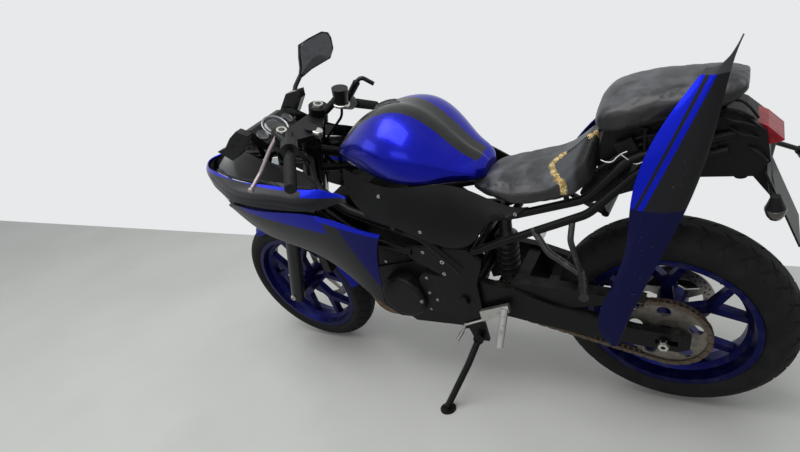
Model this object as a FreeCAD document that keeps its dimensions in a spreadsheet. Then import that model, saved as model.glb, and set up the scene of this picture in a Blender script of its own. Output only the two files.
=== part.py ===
# Faired sport motorcycle of the 300 cc twin class, parked on its side stand.
# It is modelled upright (X forward, Y left, Z up, rear axle above X = 0), and then
# every piece gets the same placement, which leans the machine over on its stand.
import FreeCAD, Part
import math
import os
import Sketcher
from FreeCAD import Placement, Rotation, Vector

SIZES = [
    ("wheelbase", 1380.0), ("rake_deg", 25.0), ("fork_offset", 37.7), ("lean_deg", 11.5),
    ("front_tyre_r", 293.0), ("front_tyre_w", 110.0), ("rear_tyre_r", 314.0), ("rear_tyre_w", 142.0),
    ("rim_flange_r", 229.0), ("bead_seat_r", 217.0), ("front_rim_w", 92.0), ("rear_rim_w", 118.0),
    ("rim_wall", 7.0), ("spoke_count", 5.0), ("spoke_w", 24.0), ("spoke_split_r", 120.0),
    ("hub_r", 42.0), ("hub_w", 104.0), ("rear_hub_w", 128.0), ("bead_gap", 0.8),
    ("tread_half_deg", 12.0), ("spindle_r", 10.0), ("spindle_fit", 0.05), ("hub_gap", 5.0),
    ("front_disc_r", 149.0), ("rear_disc_r", 110.0), ("disc_t", 5.0), ("disc_band", 32.0),
    ("chain_pitch", 15.875), ("rear_teeth", 43.0), ("front_teeth", 14.0), ("chain_line", 84.0),
    ("sprocket_t", 6.5), ("plate_h", 15.0), ("chain_w", 18.0),
    ("pivot_height", 400.0), ("swingarm_len", 573.0), ("arm_in", 98.0), ("arm_t", 24.0),
    ("fork_pitch", 190.0), ("fork_tube_r", 20.5), ("fork_slider_r", 27.0), ("fork_top_z", 990.0),
    ("clamp_top_z", 935.0), ("clamp_t", 18.0), ("clamp_low_z", 745.0),
    ("head_r", 31.0), ("head_bore_r", 20.0), ("stem_fit", 0.05), ("head_low_z", 770.0), ("head_top_z", 905.0),
    ("grip_r", 17.0), ("bar_r", 11.0), ("grip_len", 145.0), ("bar_in_y", 118.0), ("bar_out_y", 345.0),
    ("bar_in_x", 1000.0), ("bar_out_x", 826.0), ("bar_in_z", 996.0), ("bar_out_z", 940.0),
    ("bent_out_x", 1044.0), ("bent_out_y", 369.0), ("bent_out_z", 866.0), ("pad_y", 146.0), ("pad_t", 24.0),
    ("screw_x", 1165.0), ("screw_z", 1010.0), ("screw_r", 3.0),
    ("stay_gap", 0.7), ("cable_r", 4.0), ("wiring_r", 3.5), ("hose_r", 4.5),
    ("frame_tube_r", 17.0), ("rail_r", 11.0), ("plate_y", 125.0), ("plate_t", 12.0),
    ("panel_t", 3.0), ("tank_half_w", 168.0), ("tank_top_z", 1008.0),
    ("stand_y", 137.5), ("stand_x", 560.0), ("stand_z", 235.0), ("stand_spread", 300.0),
    ("stand_reach", 92.0), ("stand_r", 11.0), ("foot_r", 26.0), ("foot_t", 6.0),
    ("stand_axis_deg", 30.0), ("stand_pin_r", 8.0),
    ("pin_fit", 0.05), ("seat_gap", 0.3), ("case_half_w", 104.0), ("stay_r", 7.0),
]

doc = FreeCAD.newDocument("SportBike")
sheet = doc.addObject("Spreadsheet::Sheet", "Sizes")
for row, (alias, value) in enumerate(SIZES, start=1):
    sheet.set("A%d" % row, alias)
    sheet.set("B%d" % row, str(value))
    sheet.setAlias("B%d" % row, alias)
doc.recompute()


class Named:
    """The spreadsheet's sizes, read back by name."""


size = Named()
for alias, _ in SIZES:
    setattr(size, alias, float(sheet.get(alias)))

pieces = []
made = {}
rake = math.radians(size.rake_deg)
lean = math.radians(size.lean_deg)
front_x = size.wheelbase
pivot_x = math.sqrt(size.swingarm_len ** 2 - (size.pivot_height - size.rear_tyre_r) ** 2)
steer_dir = Vector(-math.sin(rake), 0, math.cos(rake))
steer_fwd = Vector(math.cos(rake), 0, math.sin(rake))
front_axle = Vector(front_x, 0, size.front_tyre_r)
rear_axle = Vector(0, 0, size.rear_tyre_r)
steer_foot = front_axle - steer_fwd * size.fork_offset


def on_axis(height, side=0.0, ahead=0.0):
    """Point at a height on the steering axis, moved sideways and ahead of it."""
    run = (height - steer_foot.z) / steer_dir.z
    return steer_foot + steer_dir * run + Vector(0, side, 0) + steer_fwd * ahead


def keep(label, obj, local=None):
    """Names a finished piece and remembers its place on the upright machine."""
    obj.Label = label
    pieces.append((label, obj, local or Placement()))
    return obj


def feature(label, shape):
    obj = doc.addObject("Part::Feature", label)
    obj.Shape = shape
    made[label] = shape
    return keep(label, obj)


def rod(start, end, radius):
    run = end - start
    return Part.makeCylinder(radius, run.Length, start, run)


def tube_path(points, radius, bend=60.0):
    """Round tube along straight runs joined by tangent arcs."""
    edges = []
    last = points[0]
    for before, corner, after in zip(points, points[1:], points[2:]):
        back = (before - corner).normalize()
        ahead = (after - corner).normalize()
        half = (math.pi - back.getAngle(ahead)) / 2
        reach = min(bend * math.tan(half), 0.45 * (before - corner).Length, 0.45 * (after - corner).Length)
        into = corner + back * reach
        out = corner + ahead * reach
        middle = (back + ahead).normalize()
        arc_r = reach / math.tan(half)
        top = corner + middle * (arc_r / math.cos(half) - arc_r)
        edges.append(Part.makeLine(last, into))
        edges.append(Part.Arc(into, top, out).toShape())
        last = out
    edges.append(Part.makeLine(last, points[-1]))
    path = Part.Wire(edges)
    ring = Part.Wire(Part.makeCircle(radius, points[0], points[1] - points[0]))
    return path.makePipeShell([ring], True, False)


def plate(outline, y_low, thickness, rounding=0.0):
    """Flat plate standing fore and aft, from its side outline of (x, z) pairs."""
    corners = [Vector(x, y_low, height) for x, height in outline]
    corners.append(corners[0])
    solid = Part.Face(Part.makePolygon(corners)).extrude(Vector(0, thickness, 0))
    if rounding:
        across = [e for e in solid.Edges if abs(e.tangentAt(e.FirstParameter).y) > 0.99]
        solid = solid.makeFillet(rounding, across)
    return solid


def skin(grid, wall, side=Vector(0, 1, 0)):
    """Curved panel of even wall through a grid of points on its outer face."""
    outer = Part.BSplineSurface()
    outer.interpolate(grid)
    rows = len(grid)
    cols = len(grid[0])
    inner_grid = []
    for row in range(rows):
        line = []
        for col in range(cols):
            u, v = outer.parameter(grid[row][col])
            normal = outer.normal(u, v)
            if normal.dot(side) < 0:
                normal = -normal
            line.append(grid[row][col] - normal * wall)
        inner_grid.append(line)
    inner = Part.BSplineSurface()
    inner.interpolate(inner_grid)
    top = outer.toShape()
    low = inner.toShape()
    faces = [top, low]
    for a, b in zip(top.Edges, low.Edges):
        faces.append(Part.makeRuledSurface(a, b))
    shell = Part.makeShell(faces)
    shell.sewShape()
    solid = Part.makeSolid(shell)
    if solid.Volume < 0:
        solid.reverse()
    return solid


def ring_section(x, half_w, low, top, crown=0.55, shoulder=0.75):
    """Closed smooth section across the machine, flat below and crowned above."""
    mid = low + (top - low) * crown
    pts = [
        Vector(x, 0, top), Vector(x, half_w * shoulder, top - (top - mid) * 0.35),
        Vector(x, half_w, mid), Vector(x, half_w * 0.86, low + (top - low) * 0.08),
        Vector(x, 0, low), Vector(x, -half_w * 0.86, low + (top - low) * 0.08),
        Vector(x, -half_w, mid), Vector(x, -half_w * shoulder, top - (top - mid) * 0.35),
    ]
    curve = Part.BSplineCurve()
    curve.interpolate(pts, PeriodicFlag=True)
    return Part.Wire(curve.toShape())


def loft(sections):
    return Part.makeLoft(sections, True, False)


def mirrored(shape):
    return shape.mirror(Vector(0, 0, 0), Vector(0, 1, 0))


def both(shape):
    """The piece and its mirror image, as two solids that don't touch."""
    return Part.makeCompound([shape, mirrored(shape)])


def fused(shapes):
    solid = shapes[0].fuse(shapes[1:]).removeSplitter()
    return solid


def plane_of(body, role):
    for item in body.Origin.OriginFeatures:
        if item.Role == role:
            return item
    return None


def new_sketch(body, name, role):
    sketch = body.newObject("Sketcher::SketchObject", name)
    sketch.AttachmentSupport = [(plane_of(body, role), "")]
    sketch.MapMode = "FlatFace"
    return sketch


def circle(sketch, radius, expression, centre=(0.0, 0.0), name="radius"):
    index = sketch.addGeometry(Part.Circle(Vector(centre[0], centre[1], 0), Vector(0, 0, 1), radius))
    if centre == (0.0, 0.0):
        sketch.addConstraint(Sketcher.Constraint("Coincident", index, 3, -1, 1))
    number = sketch.addConstraint(Sketcher.Constraint("Radius", index, radius))
    sketch.renameConstraint(number, name)
    sketch.setExpression("Constraints." + name, expression)
    return index


def polygon(sketch, corners):
    for (ax, ay), (bx, by) in zip(corners, corners[1:] + corners[:1]):
        sketch.addGeometry(Part.LineSegment(Vector(ax, ay, 0), Vector(bx, by, 0)))
    count = len(corners)
    for number in range(count):
        sketch.addConstraint(Sketcher.Constraint("Coincident", number, 2, (number + 1) % count, 1))


def revolved(body, name, corners):
    """Turned piece about the wheel's axle, from (width, radius) corners."""
    sketch = new_sketch(body, name + "Profile", "YZ_Plane")
    polygon(sketch, corners)
    turn = body.newObject("PartDesign::Revolution", name)
    turn.Profile = sketch
    turn.ReferenceAxis = (sketch, ["H_Axis"])
    turn.Angle = 360.0
    return turn


def tread_rise(width):
    """How far a leaning tyre's shoulder would sink below the upright machine's floor."""
    return (width / 2 + 3.0) * math.sin(math.radians(size.tread_half_deg)) * math.sin(lean)


def tyre(label, radius, width, rim_w, axle):
    body = doc.addObject("PartDesign::Body", label)
    crown = width / 2 + 3.0
    turns = [math.radians(size.tread_half_deg * times) for times in (1, 3, 5)]
    centre = radius - crown * math.cos(turns[0])
    right = [(crown * math.sin(turn), centre + crown * math.cos(turn)) for turn in turns]
    lip = rim_w / 2 - size.rim_wall - size.bead_gap
    right.append((width / 2, radius - 0.42 * (radius - size.rim_flange_r)))
    right.append((rim_w / 2, size.rim_flange_r + size.bead_gap))
    right.append((lip, size.rim_flange_r + size.bead_gap))
    right.append((lip, size.bead_seat_r + size.bead_gap))
    left = [(-w, r) for w, r in reversed(right)]
    revolved(body, label + "Turn", right + left)
    return keep(label, body, Placement(axle, Rotation()))


def wheel(label, rim_w, hub_w, axle):
    """Cast wheel: turned rim and hub, and forked spokes set round by a pattern."""
    body = doc.addObject("PartDesign::Body", label)
    half = rim_w / 2
    wall = size.rim_wall
    right = [(half, size.rim_flange_r), (half - wall, size.rim_flange_r), (half - wall, size.bead_seat_r),
             (half * 0.45, size.bead_seat_r - 4), (half * 0.3, size.bead_seat_r - 20)]
    under = [(half * 0.3 - 2, size.bead_seat_r - 20 - wall), (half * 0.5, size.bead_seat_r - 6 - wall),
             (half, size.bead_seat_r - wall + 2)]
    ring = right + [(-w, r) for w, r in reversed(right)] + [(-w, r) for w, r in reversed(under)] + under
    revolved(body, label + "Rim", ring)
    hub = new_sketch(body, label + "HubCircle", "XZ_Plane")
    circle(hub, size.hub_r, "Sizes.hub_r")
    pad = body.newObject("PartDesign::Pad", label + "Hub")
    pad.Profile = hub
    pad.Midplane = True
    pad.Length = hub_w
    deep = size.bead_seat_r - 20 - wall / 2
    split = size.spoke_split_r
    w = size.spoke_w / 2
    angle = math.radians(17)
    arm = Vector(deep * math.sin(angle), deep * math.cos(angle), 0)
    spoke = new_sketch(body, label + "SpokeOutline", "XZ_Plane")
    corners = [(-w * 1.2, size.hub_r * 0.8), (w * 1.2, size.hub_r * 0.8), (w, split * 0.85), (arm.x + w * 0.75, arm.y - w * 0.2),
               (arm.x - w * 0.75, arm.y + w * 0.25), (0, split + w * 0.5), (-arm.x + w * 0.75, arm.y + w * 0.25),
               (-arm.x - w * 0.75, arm.y - w * 0.2), (-w, split * 0.85)]
    polygon(spoke, corners)
    cast = body.newObject("PartDesign::Pad", label + "Spoke")
    cast.Profile = spoke
    cast.Midplane = True
    cast.Length = 26.0
    doc.recompute()
    pattern = body.newObject("PartDesign::PolarPattern", label + "Spokes")
    pattern.Originals = [cast]
    pattern.Axis = (spoke, ["N_Axis"])
    pattern.Angle = 360.0
    pattern.Occurrences = int(size.spoke_count)
    body.Tip = pattern
    doc.recompute()
    bore = new_sketch(body, label + "BoreCircle", "XZ_Plane")
    circle(bore, size.spindle_r + size.spindle_fit, "Sizes.spindle_r + Sizes.spindle_fit")
    cut = body.newObject("PartDesign::Pocket", label + "Bore")
    cut.Profile = bore
    cut.Midplane = True
    cut.Type = 0
    cut.Length = hub_w * 2
    return keep(label, body, Placement(axle, Rotation()))


def brake_disc(label, radius, face_y, axle):
    body = doc.addObject("PartDesign::Body", label)
    sketch = new_sketch(body, label + "Band", "XZ_Plane")
    circle(sketch, radius, "Sizes." + label + "_r", name="outer")
    circle(sketch, radius - size.disc_band, "Sizes." + label + "_r - Sizes.disc_band", name="inner")
    pad = body.newObject("PartDesign::Pad", label + "Plate")
    pad.Profile = sketch
    pad.Midplane = True
    pad.setExpression("Length", "Sizes.disc_t")
    arms = new_sketch(body, label + "ArmOutline", "XZ_Plane")
    inner = size.hub_r - 8
    polygon(arms, [(-16, inner), (16, inner), (9, radius - size.disc_band + 4), (-9, radius - size.disc_band + 4)])
    arm = body.newObject("PartDesign::Pad", label + "Arm")
    arm.Profile = arms
    arm.Midplane = True
    arm.setExpression("Length", "Sizes.disc_t")
    doc.recompute()
    pattern = body.newObject("PartDesign::PolarPattern", label + "Arms")
    pattern.Originals = [arm]
    pattern.Axis = (arms, ["N_Axis"])
    pattern.Angle = 360.0
    pattern.Occurrences = int(size.spoke_count)
    body.Tip = pattern
    doc.recompute()
    ring = new_sketch(body, label + "Centre", "XZ_Plane")
    circle(ring, size.hub_r, "Sizes.hub_r", name="outer")
    circle(ring, size.hub_r - 14, "Sizes.hub_r - 14", name="inner")
    boss = body.newObject("PartDesign::Pad", label + "Boss")
    boss.Profile = ring
    boss.Midplane = True
    boss.setExpression("Length", "Sizes.disc_t")
    return keep(label, body, Placement(axle + Vector(0, face_y, 0), Rotation()))


def sprocket_radius(teeth):
    return size.chain_pitch / (2 * math.sin(math.pi / teeth))


def sprocket_shape(teeth, centre):
    """Toothed ring between the rollers, with the teeth just inside the chain's plates."""
    pitch_r = sprocket_radius(teeth)
    outline = []
    for tooth in range(int(teeth)):
        for share, radius in ((-0.30, pitch_r - 5.5), (-0.12, pitch_r - 1.0), (0.12, pitch_r - 1.0), (0.30, pitch_r - 5.5)):
            turn = 2 * math.pi * (tooth + share) / teeth
            outline.append(centre + Vector(radius * math.sin(turn), 0, radius * math.cos(turn)))
    outline.append(outline[0])
    disc = Part.Face(Part.makePolygon(outline)).extrude(Vector(0, size.sprocket_t, 0))
    return disc


def rear_sprocket():
    centre = rear_axle + Vector(0, size.chain_line - size.sprocket_t / 2, 0)
    ring = sprocket_shape(size.rear_teeth, centre)
    hole_r = 24.0
    reach = (size.hub_r + sprocket_radius(size.rear_teeth)) / 2 + 3
    ring = ring.cut(Part.makeCylinder(size.hub_r - 14, size.sprocket_t, centre, Vector(0, 1, 0)))
    for number in range(int(size.spoke_count)):
        turn = 2 * math.pi * number / size.spoke_count
        spot = centre + Vector(reach * math.sin(turn), 0, reach * math.cos(turn))
        ring = ring.cut(Part.makeCylinder(hole_r * 0.75, size.sprocket_t, spot, Vector(0, 1, 0)))
    side = size.rear_hub_w / 2
    carrier = Part.makeCylinder(52, size.chain_line - size.sprocket_t / 2 - side, rear_axle + Vector(0, side, 0),
                                Vector(0, 1, 0))
    carrier = carrier.cut(Part.makeCylinder(22, 80, rear_axle + Vector(0, side, 0), Vector(0, 1, 0)))
    return feature("rear_sprocket", fused([ring, carrier]))


drive_axle = Vector(pivot_x + 78, 0, size.pivot_height + 4)


def chain_band():
    """One closed loop round both sprockets, its edges notched link by link."""
    big = sprocket_radius(size.rear_teeth)
    small = sprocket_radius(size.front_teeth)
    run = drive_axle - rear_axle
    span = math.hypot(run.x, run.z)
    tilt = math.atan2(run.z, run.x)
    spread = math.acos((big - small) / span)
    top_len = math.sqrt(span ** 2 - (big - small) ** 2)
    big_arc = big * (2 * math.pi - 2 * spread)
    small_arc = small * 2 * spread
    total = 2 * top_len + big_arc + small_arc
    links = 2 * int(round(total / size.chain_pitch / 2))
    step = total / links

    def spot(distance, offset):
        distance = distance % total
        if distance < top_len:
            turn = tilt + spread
            base = Vector(math.cos(turn), 0, math.sin(turn))
            along = Vector(math.sin(turn), 0, -math.cos(turn))
            return rear_axle + base * (big + offset) + along * distance
        distance -= top_len
        if distance < small_arc:
            turn = tilt + spread - distance / small
            return drive_axle + Vector(math.cos(turn), 0, math.sin(turn)) * (small + offset)
        distance -= small_arc
        if distance < top_len:
            turn = tilt - spread
            base = Vector(math.cos(turn), 0, math.sin(turn))
            along = Vector(math.sin(turn), 0, -math.cos(turn))
            return drive_axle + base * (small + offset) + along * distance
        distance -= top_len
        turn = tilt - spread - distance / big
        return rear_axle + Vector(math.cos(turn), 0, math.sin(turn)) * (big + offset)

    outer = []
    inner = []
    tall = size.plate_h / 2
    for link in range(links):
        outer.append(spot(link * step, tall))
        outer.append(spot((link + 0.5) * step, tall - 3.0))
        inner.append(spot(link * step, -tall))
        inner.append(spot((link + 0.5) * step, -tall + 3.0))
    outer.append(outer[0])
    inner.append(inner[0])
    side = Vector(0, size.chain_line - size.chain_w / 2, 0)
    band = Part.Face(Part.makePolygon(outer)).extrude(Vector(0, size.chain_w, 0))
    band = band.cut(Part.Face(Part.makePolygon(inner)).extrude(Vector(0, size.chain_w, 0)))
    band.translate(side)
    # The sprockets' teeth run in a groove between the side plates.
    groove_w = size.sprocket_t + 1.0
    groove = Part.Face(Part.makePolygon([spot(n * total / 90, 1.5) for n in range(90)] + [spot(0, 1.5)]))
    groove.translate(Vector(0, size.chain_line - groove_w / 2, 0))
    return feature("drive_chain", band.cut(groove.extrude(Vector(0, groove_w, 0))))


def engine():
    """Parallel twin as one plain block at its real place, with its round covers."""
    half = size.case_half_w
    case = plate([(622, 268), (880, 258), (935, 300), (950, 390), (930, 470), (700, 525), (604, 490), (604, 300)],
                 -half, 2 * half, 14)
    block = plate([(735, 480), (915, 455), (960, 640), (820, 665)], -98, 196)
    head = plate([(815, 655), (972, 628), (1000, 722), (965, 765), (860, 770), (825, 730)], -104, 208, 14)
    left = Part.makeCylinder(82, 50, Vector(795, half - 2, 392), Vector(0, 1, 0))
    left = left.makeFillet(12, [e for e in left.Edges if e.Length > 400 and e.CenterOfMass.y > half + 20])
    right = Part.makeCylinder(88, 52, Vector(715, 2 - half, 392), Vector(0, -1, 0))
    right = right.makeFillet(12, [e for e in right.Edges if e.Length > 400 and e.CenterOfMass.y < -half - 20])
    sump = plate([(640, 225), (840, 218), (880, 262), (630, 272)], -80, 160)
    bay = Part.makeBox(drive_axle.x + 55 - 590, 60, 140, Vector(590, 70, drive_axle.z - 70))
    cover = plate([(614, 330), (700, 330), (716, 352), (716, 470), (694, 492), (614, 488)], half - 2, 30, 8)
    hollow = plate([(600, drive_axle.z - 66), (drive_axle.x + 50, drive_axle.z - 66), (drive_axle.x + 50, drive_axle.z + 66),
                    (600, drive_axle.z + 66)], half - 10, 32)
    drive = Part.makeCylinder(sprocket_radius(size.front_teeth) - 1.0, size.sprocket_t,
                              drive_axle + Vector(0, size.chain_line - size.sprocket_t / 2, 0), Vector(0, 1, 0))
    shaft = Part.makeCylinder(12, size.chain_line + 4, drive_axle, Vector(0, 1, 0))
    whole = fused([case, block, head, left, right, sump, cover]).cut([bay, hollow])
    feature("engine", fused([whole, drive, shaft]))


def exhaust():
    pipes = []
    for side in (-1, 1):
        pipes.append(tube_path([Vector(975, 55 * side, 668), Vector(1030, 58 * side, 640), Vector(1040, 55 * side, 420),
                                Vector(1000, 42 * side, 215), Vector(880, 22 * side - 8, 192), Vector(760, -30, 190)], 17, 70))
    collector = tube_path([Vector(790, -30, 190), Vector(600, -60, 192), Vector(470, -160, 232),
                           Vector(400, -182, 262)], 24, 80)
    start = Vector(410, -180, 258)
    tail = Vector(30, -206, 400)
    run = tail - start
    can = Part.makeCone(38, 56, 90, start, run)
    body_start = start + Vector(run).normalize() * 90
    body = rod(body_start, tail, 56)
    tip = rod(tail, tail + Vector(run).normalize() * 45, 24)
    hollow = rod(tail - Vector(run).normalize() * 60, tail + Vector(run).normalize() * 46, 19)
    whole = fused(pipes + [collector, can, body, tip])
    return feature("exhaust", whole.cut(hollow).cut(made["engine"]))


def radiator():
    core = plate([(1074, 470), (1106, 474), (1091, 690), (1059, 686)], -145, 290)
    ears = [rod(Vector(1070, side * 96, 684), Vector(1022, side * 104, 762), size.stay_r) for side in (-1, 1)]
    return feature("radiator", fused([core] + ears).cut(made["main_frame"]))


def main_frame():
    """Welded tube frame with its seat rails, pivot plates, stand bracket and cowl bosses."""
    head = rod(on_axis(size.head_low_z), on_axis(size.head_top_z), size.head_r)
    side = size.plate_y + size.plate_t / 2
    r = size.frame_tube_r
    spar = tube_path([on_axis(size.head_top_z - 35, 22), Vector(1000, 116, 800), Vector(880, side, 725),
                      Vector(640, side, 640), Vector(pivot_x - 20, side, 520)], r, 120)
    lower = tube_path([on_axis(size.head_low_z + 30, 22), Vector(1000, 130, 742), Vector(900, side, 660),
                       Vector(820, side, 615), Vector(700, side, 580)], r * 0.8, 90)
    front_edge = pivot_x + 44
    pivot_plate = plate([(pivot_x - 62, 600), (pivot_x - 96, 560), (pivot_x - 60, 470), (pivot_x - 50, 340),
                         (pivot_x - 20, 288), (pivot_x + 40, 272), (front_edge, 320), (front_edge, 490),
                         (pivot_x + 150, 560), (pivot_x + 150, 600)], size.plate_y, size.plate_t)
    hanger = plate([(900, 600), (950, 610), (960, 700), (900, 740), (870, 700)], 106, 19)
    rail_low = tube_path([Vector(pivot_x - 60, side - 4, 580), Vector(400, 118, 622), Vector(150, 104, 712),
                          Vector(20, 84, 822), Vector(-150, 50, 846)], size.rail_r, 100)
    rail_top = tube_path([Vector(700, side, 650), Vector(560, 112, 680), Vector(340, 104, 706), Vector(150, 96, 750),
                          Vector(40, 84, 852), Vector(-165, 48, 884)], size.rail_r, 100)
    post = rod(Vector(10, 74, 850), Vector(4, 60, 930), size.stay_r)
    seat_post = rod(Vector(200, 98, 735), Vector(200, 90, 775), size.stay_r)
    side_boss = rod(Vector(700, side, 650), Vector(700, 175, 700), size.stay_r)
    rear_boss = rod(Vector(430, 108, 693), Vector(430, 137, 700), size.stay_r)
    fairing_boss = [rod(Vector(880, side, 690), Vector(880, 201, 650), size.stay_r),
                    rod(Vector(828, side, 612), Vector(828, 193, 500), size.stay_r)]
    tail_boss = rod(Vector(0, 80, 842), Vector(0, 118, 880), size.stay_r)
    halves = [spar, lower, pivot_plate, hanger, rail_low, rail_top, post, seat_post, side_boss, rear_boss] + fairing_boss
    crosses = []
    for x, height, reach in ((-120, 862, 56), (350, 705, 104), (pivot_x - 80, 590, side)):
        crosses.append(rod(Vector(x, -reach, height), Vector(x, reach, height), size.rail_r))
    crosses.append(rod(Vector(pivot_x - 26, -side, 310), Vector(pivot_x - 26, side, 310), size.rail_r))
    bracket = plate([(size.stand_x - 26, size.stand_z - 18), (size.stand_x + 26, size.stand_z - 18),
                     (size.stand_x + 44, 330), (size.stand_x - 30, 330)], size.plate_y - 11, 12)
    whole = fused([head] + halves + [mirrored(p) for p in halves] + crosses + [bracket, mirrored(tail_boss)])
    stem = rod(on_axis(size.head_low_z - 20), on_axis(size.head_top_z + 20), size.head_bore_r)
    spindle = rod(Vector(pivot_x, -200, size.pivot_height), Vector(pivot_x, 200, size.pivot_height), size.spindle_r)
    shells = [made[name] for name in ("fairing_left", "fairing_right", "side_cover_left", "side_cover_right",
                                      "rider_seat", "pillion_seat", "tail_cowl_right", "fuel_tank")]
    whole = whole.cut([stem, spindle] + shells)
    bolt_end = size.plate_y + size.plate_t + 12
    bolt = rod(Vector(pivot_x, -bolt_end, size.pivot_height), Vector(pivot_x, bolt_end, size.pivot_height), size.spindle_r)
    heads = [rod(Vector(pivot_x, side_y, size.pivot_height), Vector(pivot_x, side_y * bolt_end / (bolt_end - 12),
                 size.pivot_height), 16) for side_y in (bolt_end - 12, 12 - bolt_end)]
    pin = stand_pin(size.stand_pin_r, -16, 30)
    whole = fused([whole, bolt, pin] + heads)
    whole = max(whole.Solids, key=lambda solid: solid.Volume)
    return feature("main_frame", whole)


ARM_TOP = [(70, 27), (250, 40), (400, 73), (505, 79)]


def along_arm(points):
    """Points given ahead of the rear axle and above the line from it to the arm's pivot."""
    slope = (size.pivot_height - rear_axle.z) / pivot_x
    return [(x, rear_axle.z + slope * x + above) for x, above in points]


def swingarm():
    inner = size.arm_in
    outline = [(pivot_x + 30, -25), (pivot_x - 10, -42), (430, -41), (200, -44), (-30, -25), (-62, -5), (-66, 26),
               (-40, 38)] + ARM_TOP + [(pivot_x + 4, 35), (pivot_x + 32, 15)]
    arm = plate(along_arm(outline), inner, size.arm_t)
    slot = plate([(-34, rear_axle.z - 9), (22, rear_axle.z - 9), (22, rear_axle.z + 9), (-34, rear_axle.z + 9)],
                 inner - 5, size.arm_t + 10)
    arm = arm.cut(slot)
    beam = rod(Vector(pivot_x, -inner - 2, size.pivot_height), Vector(pivot_x, inner + 2, size.pivot_height), 24)
    brace = plate(along_arm([(372, -40), (420, -40), (440, 19), (420, 62), (384, 58)]), -inner - 2, 2 * inner + 4)
    tyre_room = Part.makeCylinder(size.rear_tyre_r + 22, size.rear_tyre_w + 24,
                                  Vector(0, -size.rear_tyre_w / 2 - 12, size.rear_tyre_r), Vector(0, 1, 0))
    brace = brace.cut(tyre_room)
    chain_room = plate(along_arm([(340, -50), (480, -50), (480, 105), (340, 105)]),
                       size.chain_line - size.chain_w, size.chain_w * 2 - 8)
    right = mirrored(arm)
    whole = fused([arm, right, beam, brace.cut(chain_room)])
    bolt = rod(Vector(pivot_x, -140, size.pivot_height), Vector(pivot_x, 140, size.pivot_height),
               size.spindle_r + size.spindle_fit)
    whole = whole.cut(bolt)
    reach = size.arm_in + size.arm_t
    rear = [rod(rear_axle + Vector(0, -reach - 10, 0), rear_axle + Vector(0, reach + 10, 0), size.spindle_r)]
    for side in (-1, 1):
        rear.append(rod(rear_axle + Vector(0, reach * side, 0), rear_axle + Vector(0, (reach + 12) * side, 0), 15))
    spacer = Part.makeCylinder(15, size.arm_in - size.rear_hub_w / 2 - size.hub_gap,
                               rear_axle + Vector(0, size.rear_hub_w / 2 + size.hub_gap, 0), Vector(0, 1, 0))
    return feature("swingarm", fused([whole, spacer, mirrored(spacer)] + rear))


def chain_guard():
    line = size.chain_line
    top = [(40, 120), (120, 114), (300, 100), (400, 95), (400, 100), (298, 105), (118, 119), (38, 125)]
    guard = plate(along_arm(top), line - 8, 37)
    seat = [(x, above + size.seat_gap) for x, above in ARM_TOP[1:3]]
    wall = plate(along_arm(seat + [(400, 99), (300, 104), (118, 118), (80, 110)]), line + 26, 3)
    return feature("chain_guard", fused([guard, wall]))


def shock():
    """Damper with its spring round it, turned about one leaning line."""
    top = Vector(430, 0, 640)
    low = Vector(470, 0, 360)
    run = top - low
    turns = 7
    pitch = run.Length * 0.55 / turns
    profile = [Vector(), Vector(20, 0, 0)]
    for number in range(turns):
        start = run.Length * 0.2 + pitch * number
        profile += [Vector(26, 0, start), Vector(36, 0, start + pitch * 0.28), Vector(36, 0, start + pitch * 0.6),
                    Vector(26, 0, start + pitch * 0.88)]
    profile += [Vector(20, 0, run.Length * 0.8), Vector(20, 0, run.Length), Vector(0, 0, run.Length), Vector()]
    spring = Part.Face(Part.makePolygon(profile)).revolve(Vector(), Vector(0, 0, 1), 360)
    spring.Placement = Placement(low, Rotation(Vector(0, 0, 1), run))
    return feature("shock_absorber", spring.cut([made["swingarm"], made["main_frame"]]))


def fuel_tank():
    w = size.tank_half_w
    t = size.tank_top_z
    s = [ring_section(432, 42, 788, 815), ring_section(480, 92, 792, 862), ring_section(540, 132, 800, 932),
         ring_section(620, w, 812, t - 10), ring_section(700, w * 0.96, 826, t),
         ring_section(780, w * 0.79, 846, t - 22), ring_section(850, w * 0.6, 872, t - 62),
         ring_section(884, 66, 890, t - 88)]
    return feature("fuel_tank", loft(s))


def seat():
    s = [ring_section(474, 56, 760, 784, 0.6), ring_section(410, 100, 748, 790, 0.7), ring_section(330, 126, 742, 792, 0.7),
         ring_section(240, 132, 752, 806, 0.7), ring_section(180, 122, 772, 842, 0.75), ring_section(132, 104, 806, 886, 0.8)]
    return feature("rider_seat", loft(s).cut(made["fuel_tank"]))


def pillion():
    s = [ring_section(112, 80, 926, 958, 0.6), ring_section(84, 104, 914, 988, 0.65), ring_section(0, 104, 922, 998, 0.7),
         ring_section(-90, 90, 936, 1000, 0.7), ring_section(-160, 72, 950, 1000, 0.7), ring_section(-193, 48, 972, 996, 0.6)]
    return feature("pillion_seat", loft(s))


def side_covers():
    top = [(808, 160, 894), (720, 160, 838), (620, 152, 822), (520, 128, 815), (440, 112, 780), (300, 104, 732)]
    mid = [(812, 172, 860), (725, 174, 790), (620, 168, 770), (520, 152, 742), (440, 138, 722), (330, 118, 715)]
    low = [(812, 176, 812), (735, 178, 720), (640, 168, 668), (530, 148, 615), (450, 138, 655), (350, 122, 695)]
    grid = [[Vector(*p) for p in line] for line in (top, mid, low)]
    left = skin(grid, size.panel_t)
    feature("side_cover_left", left)
    feature("side_cover_right", mirrored(left))


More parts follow.
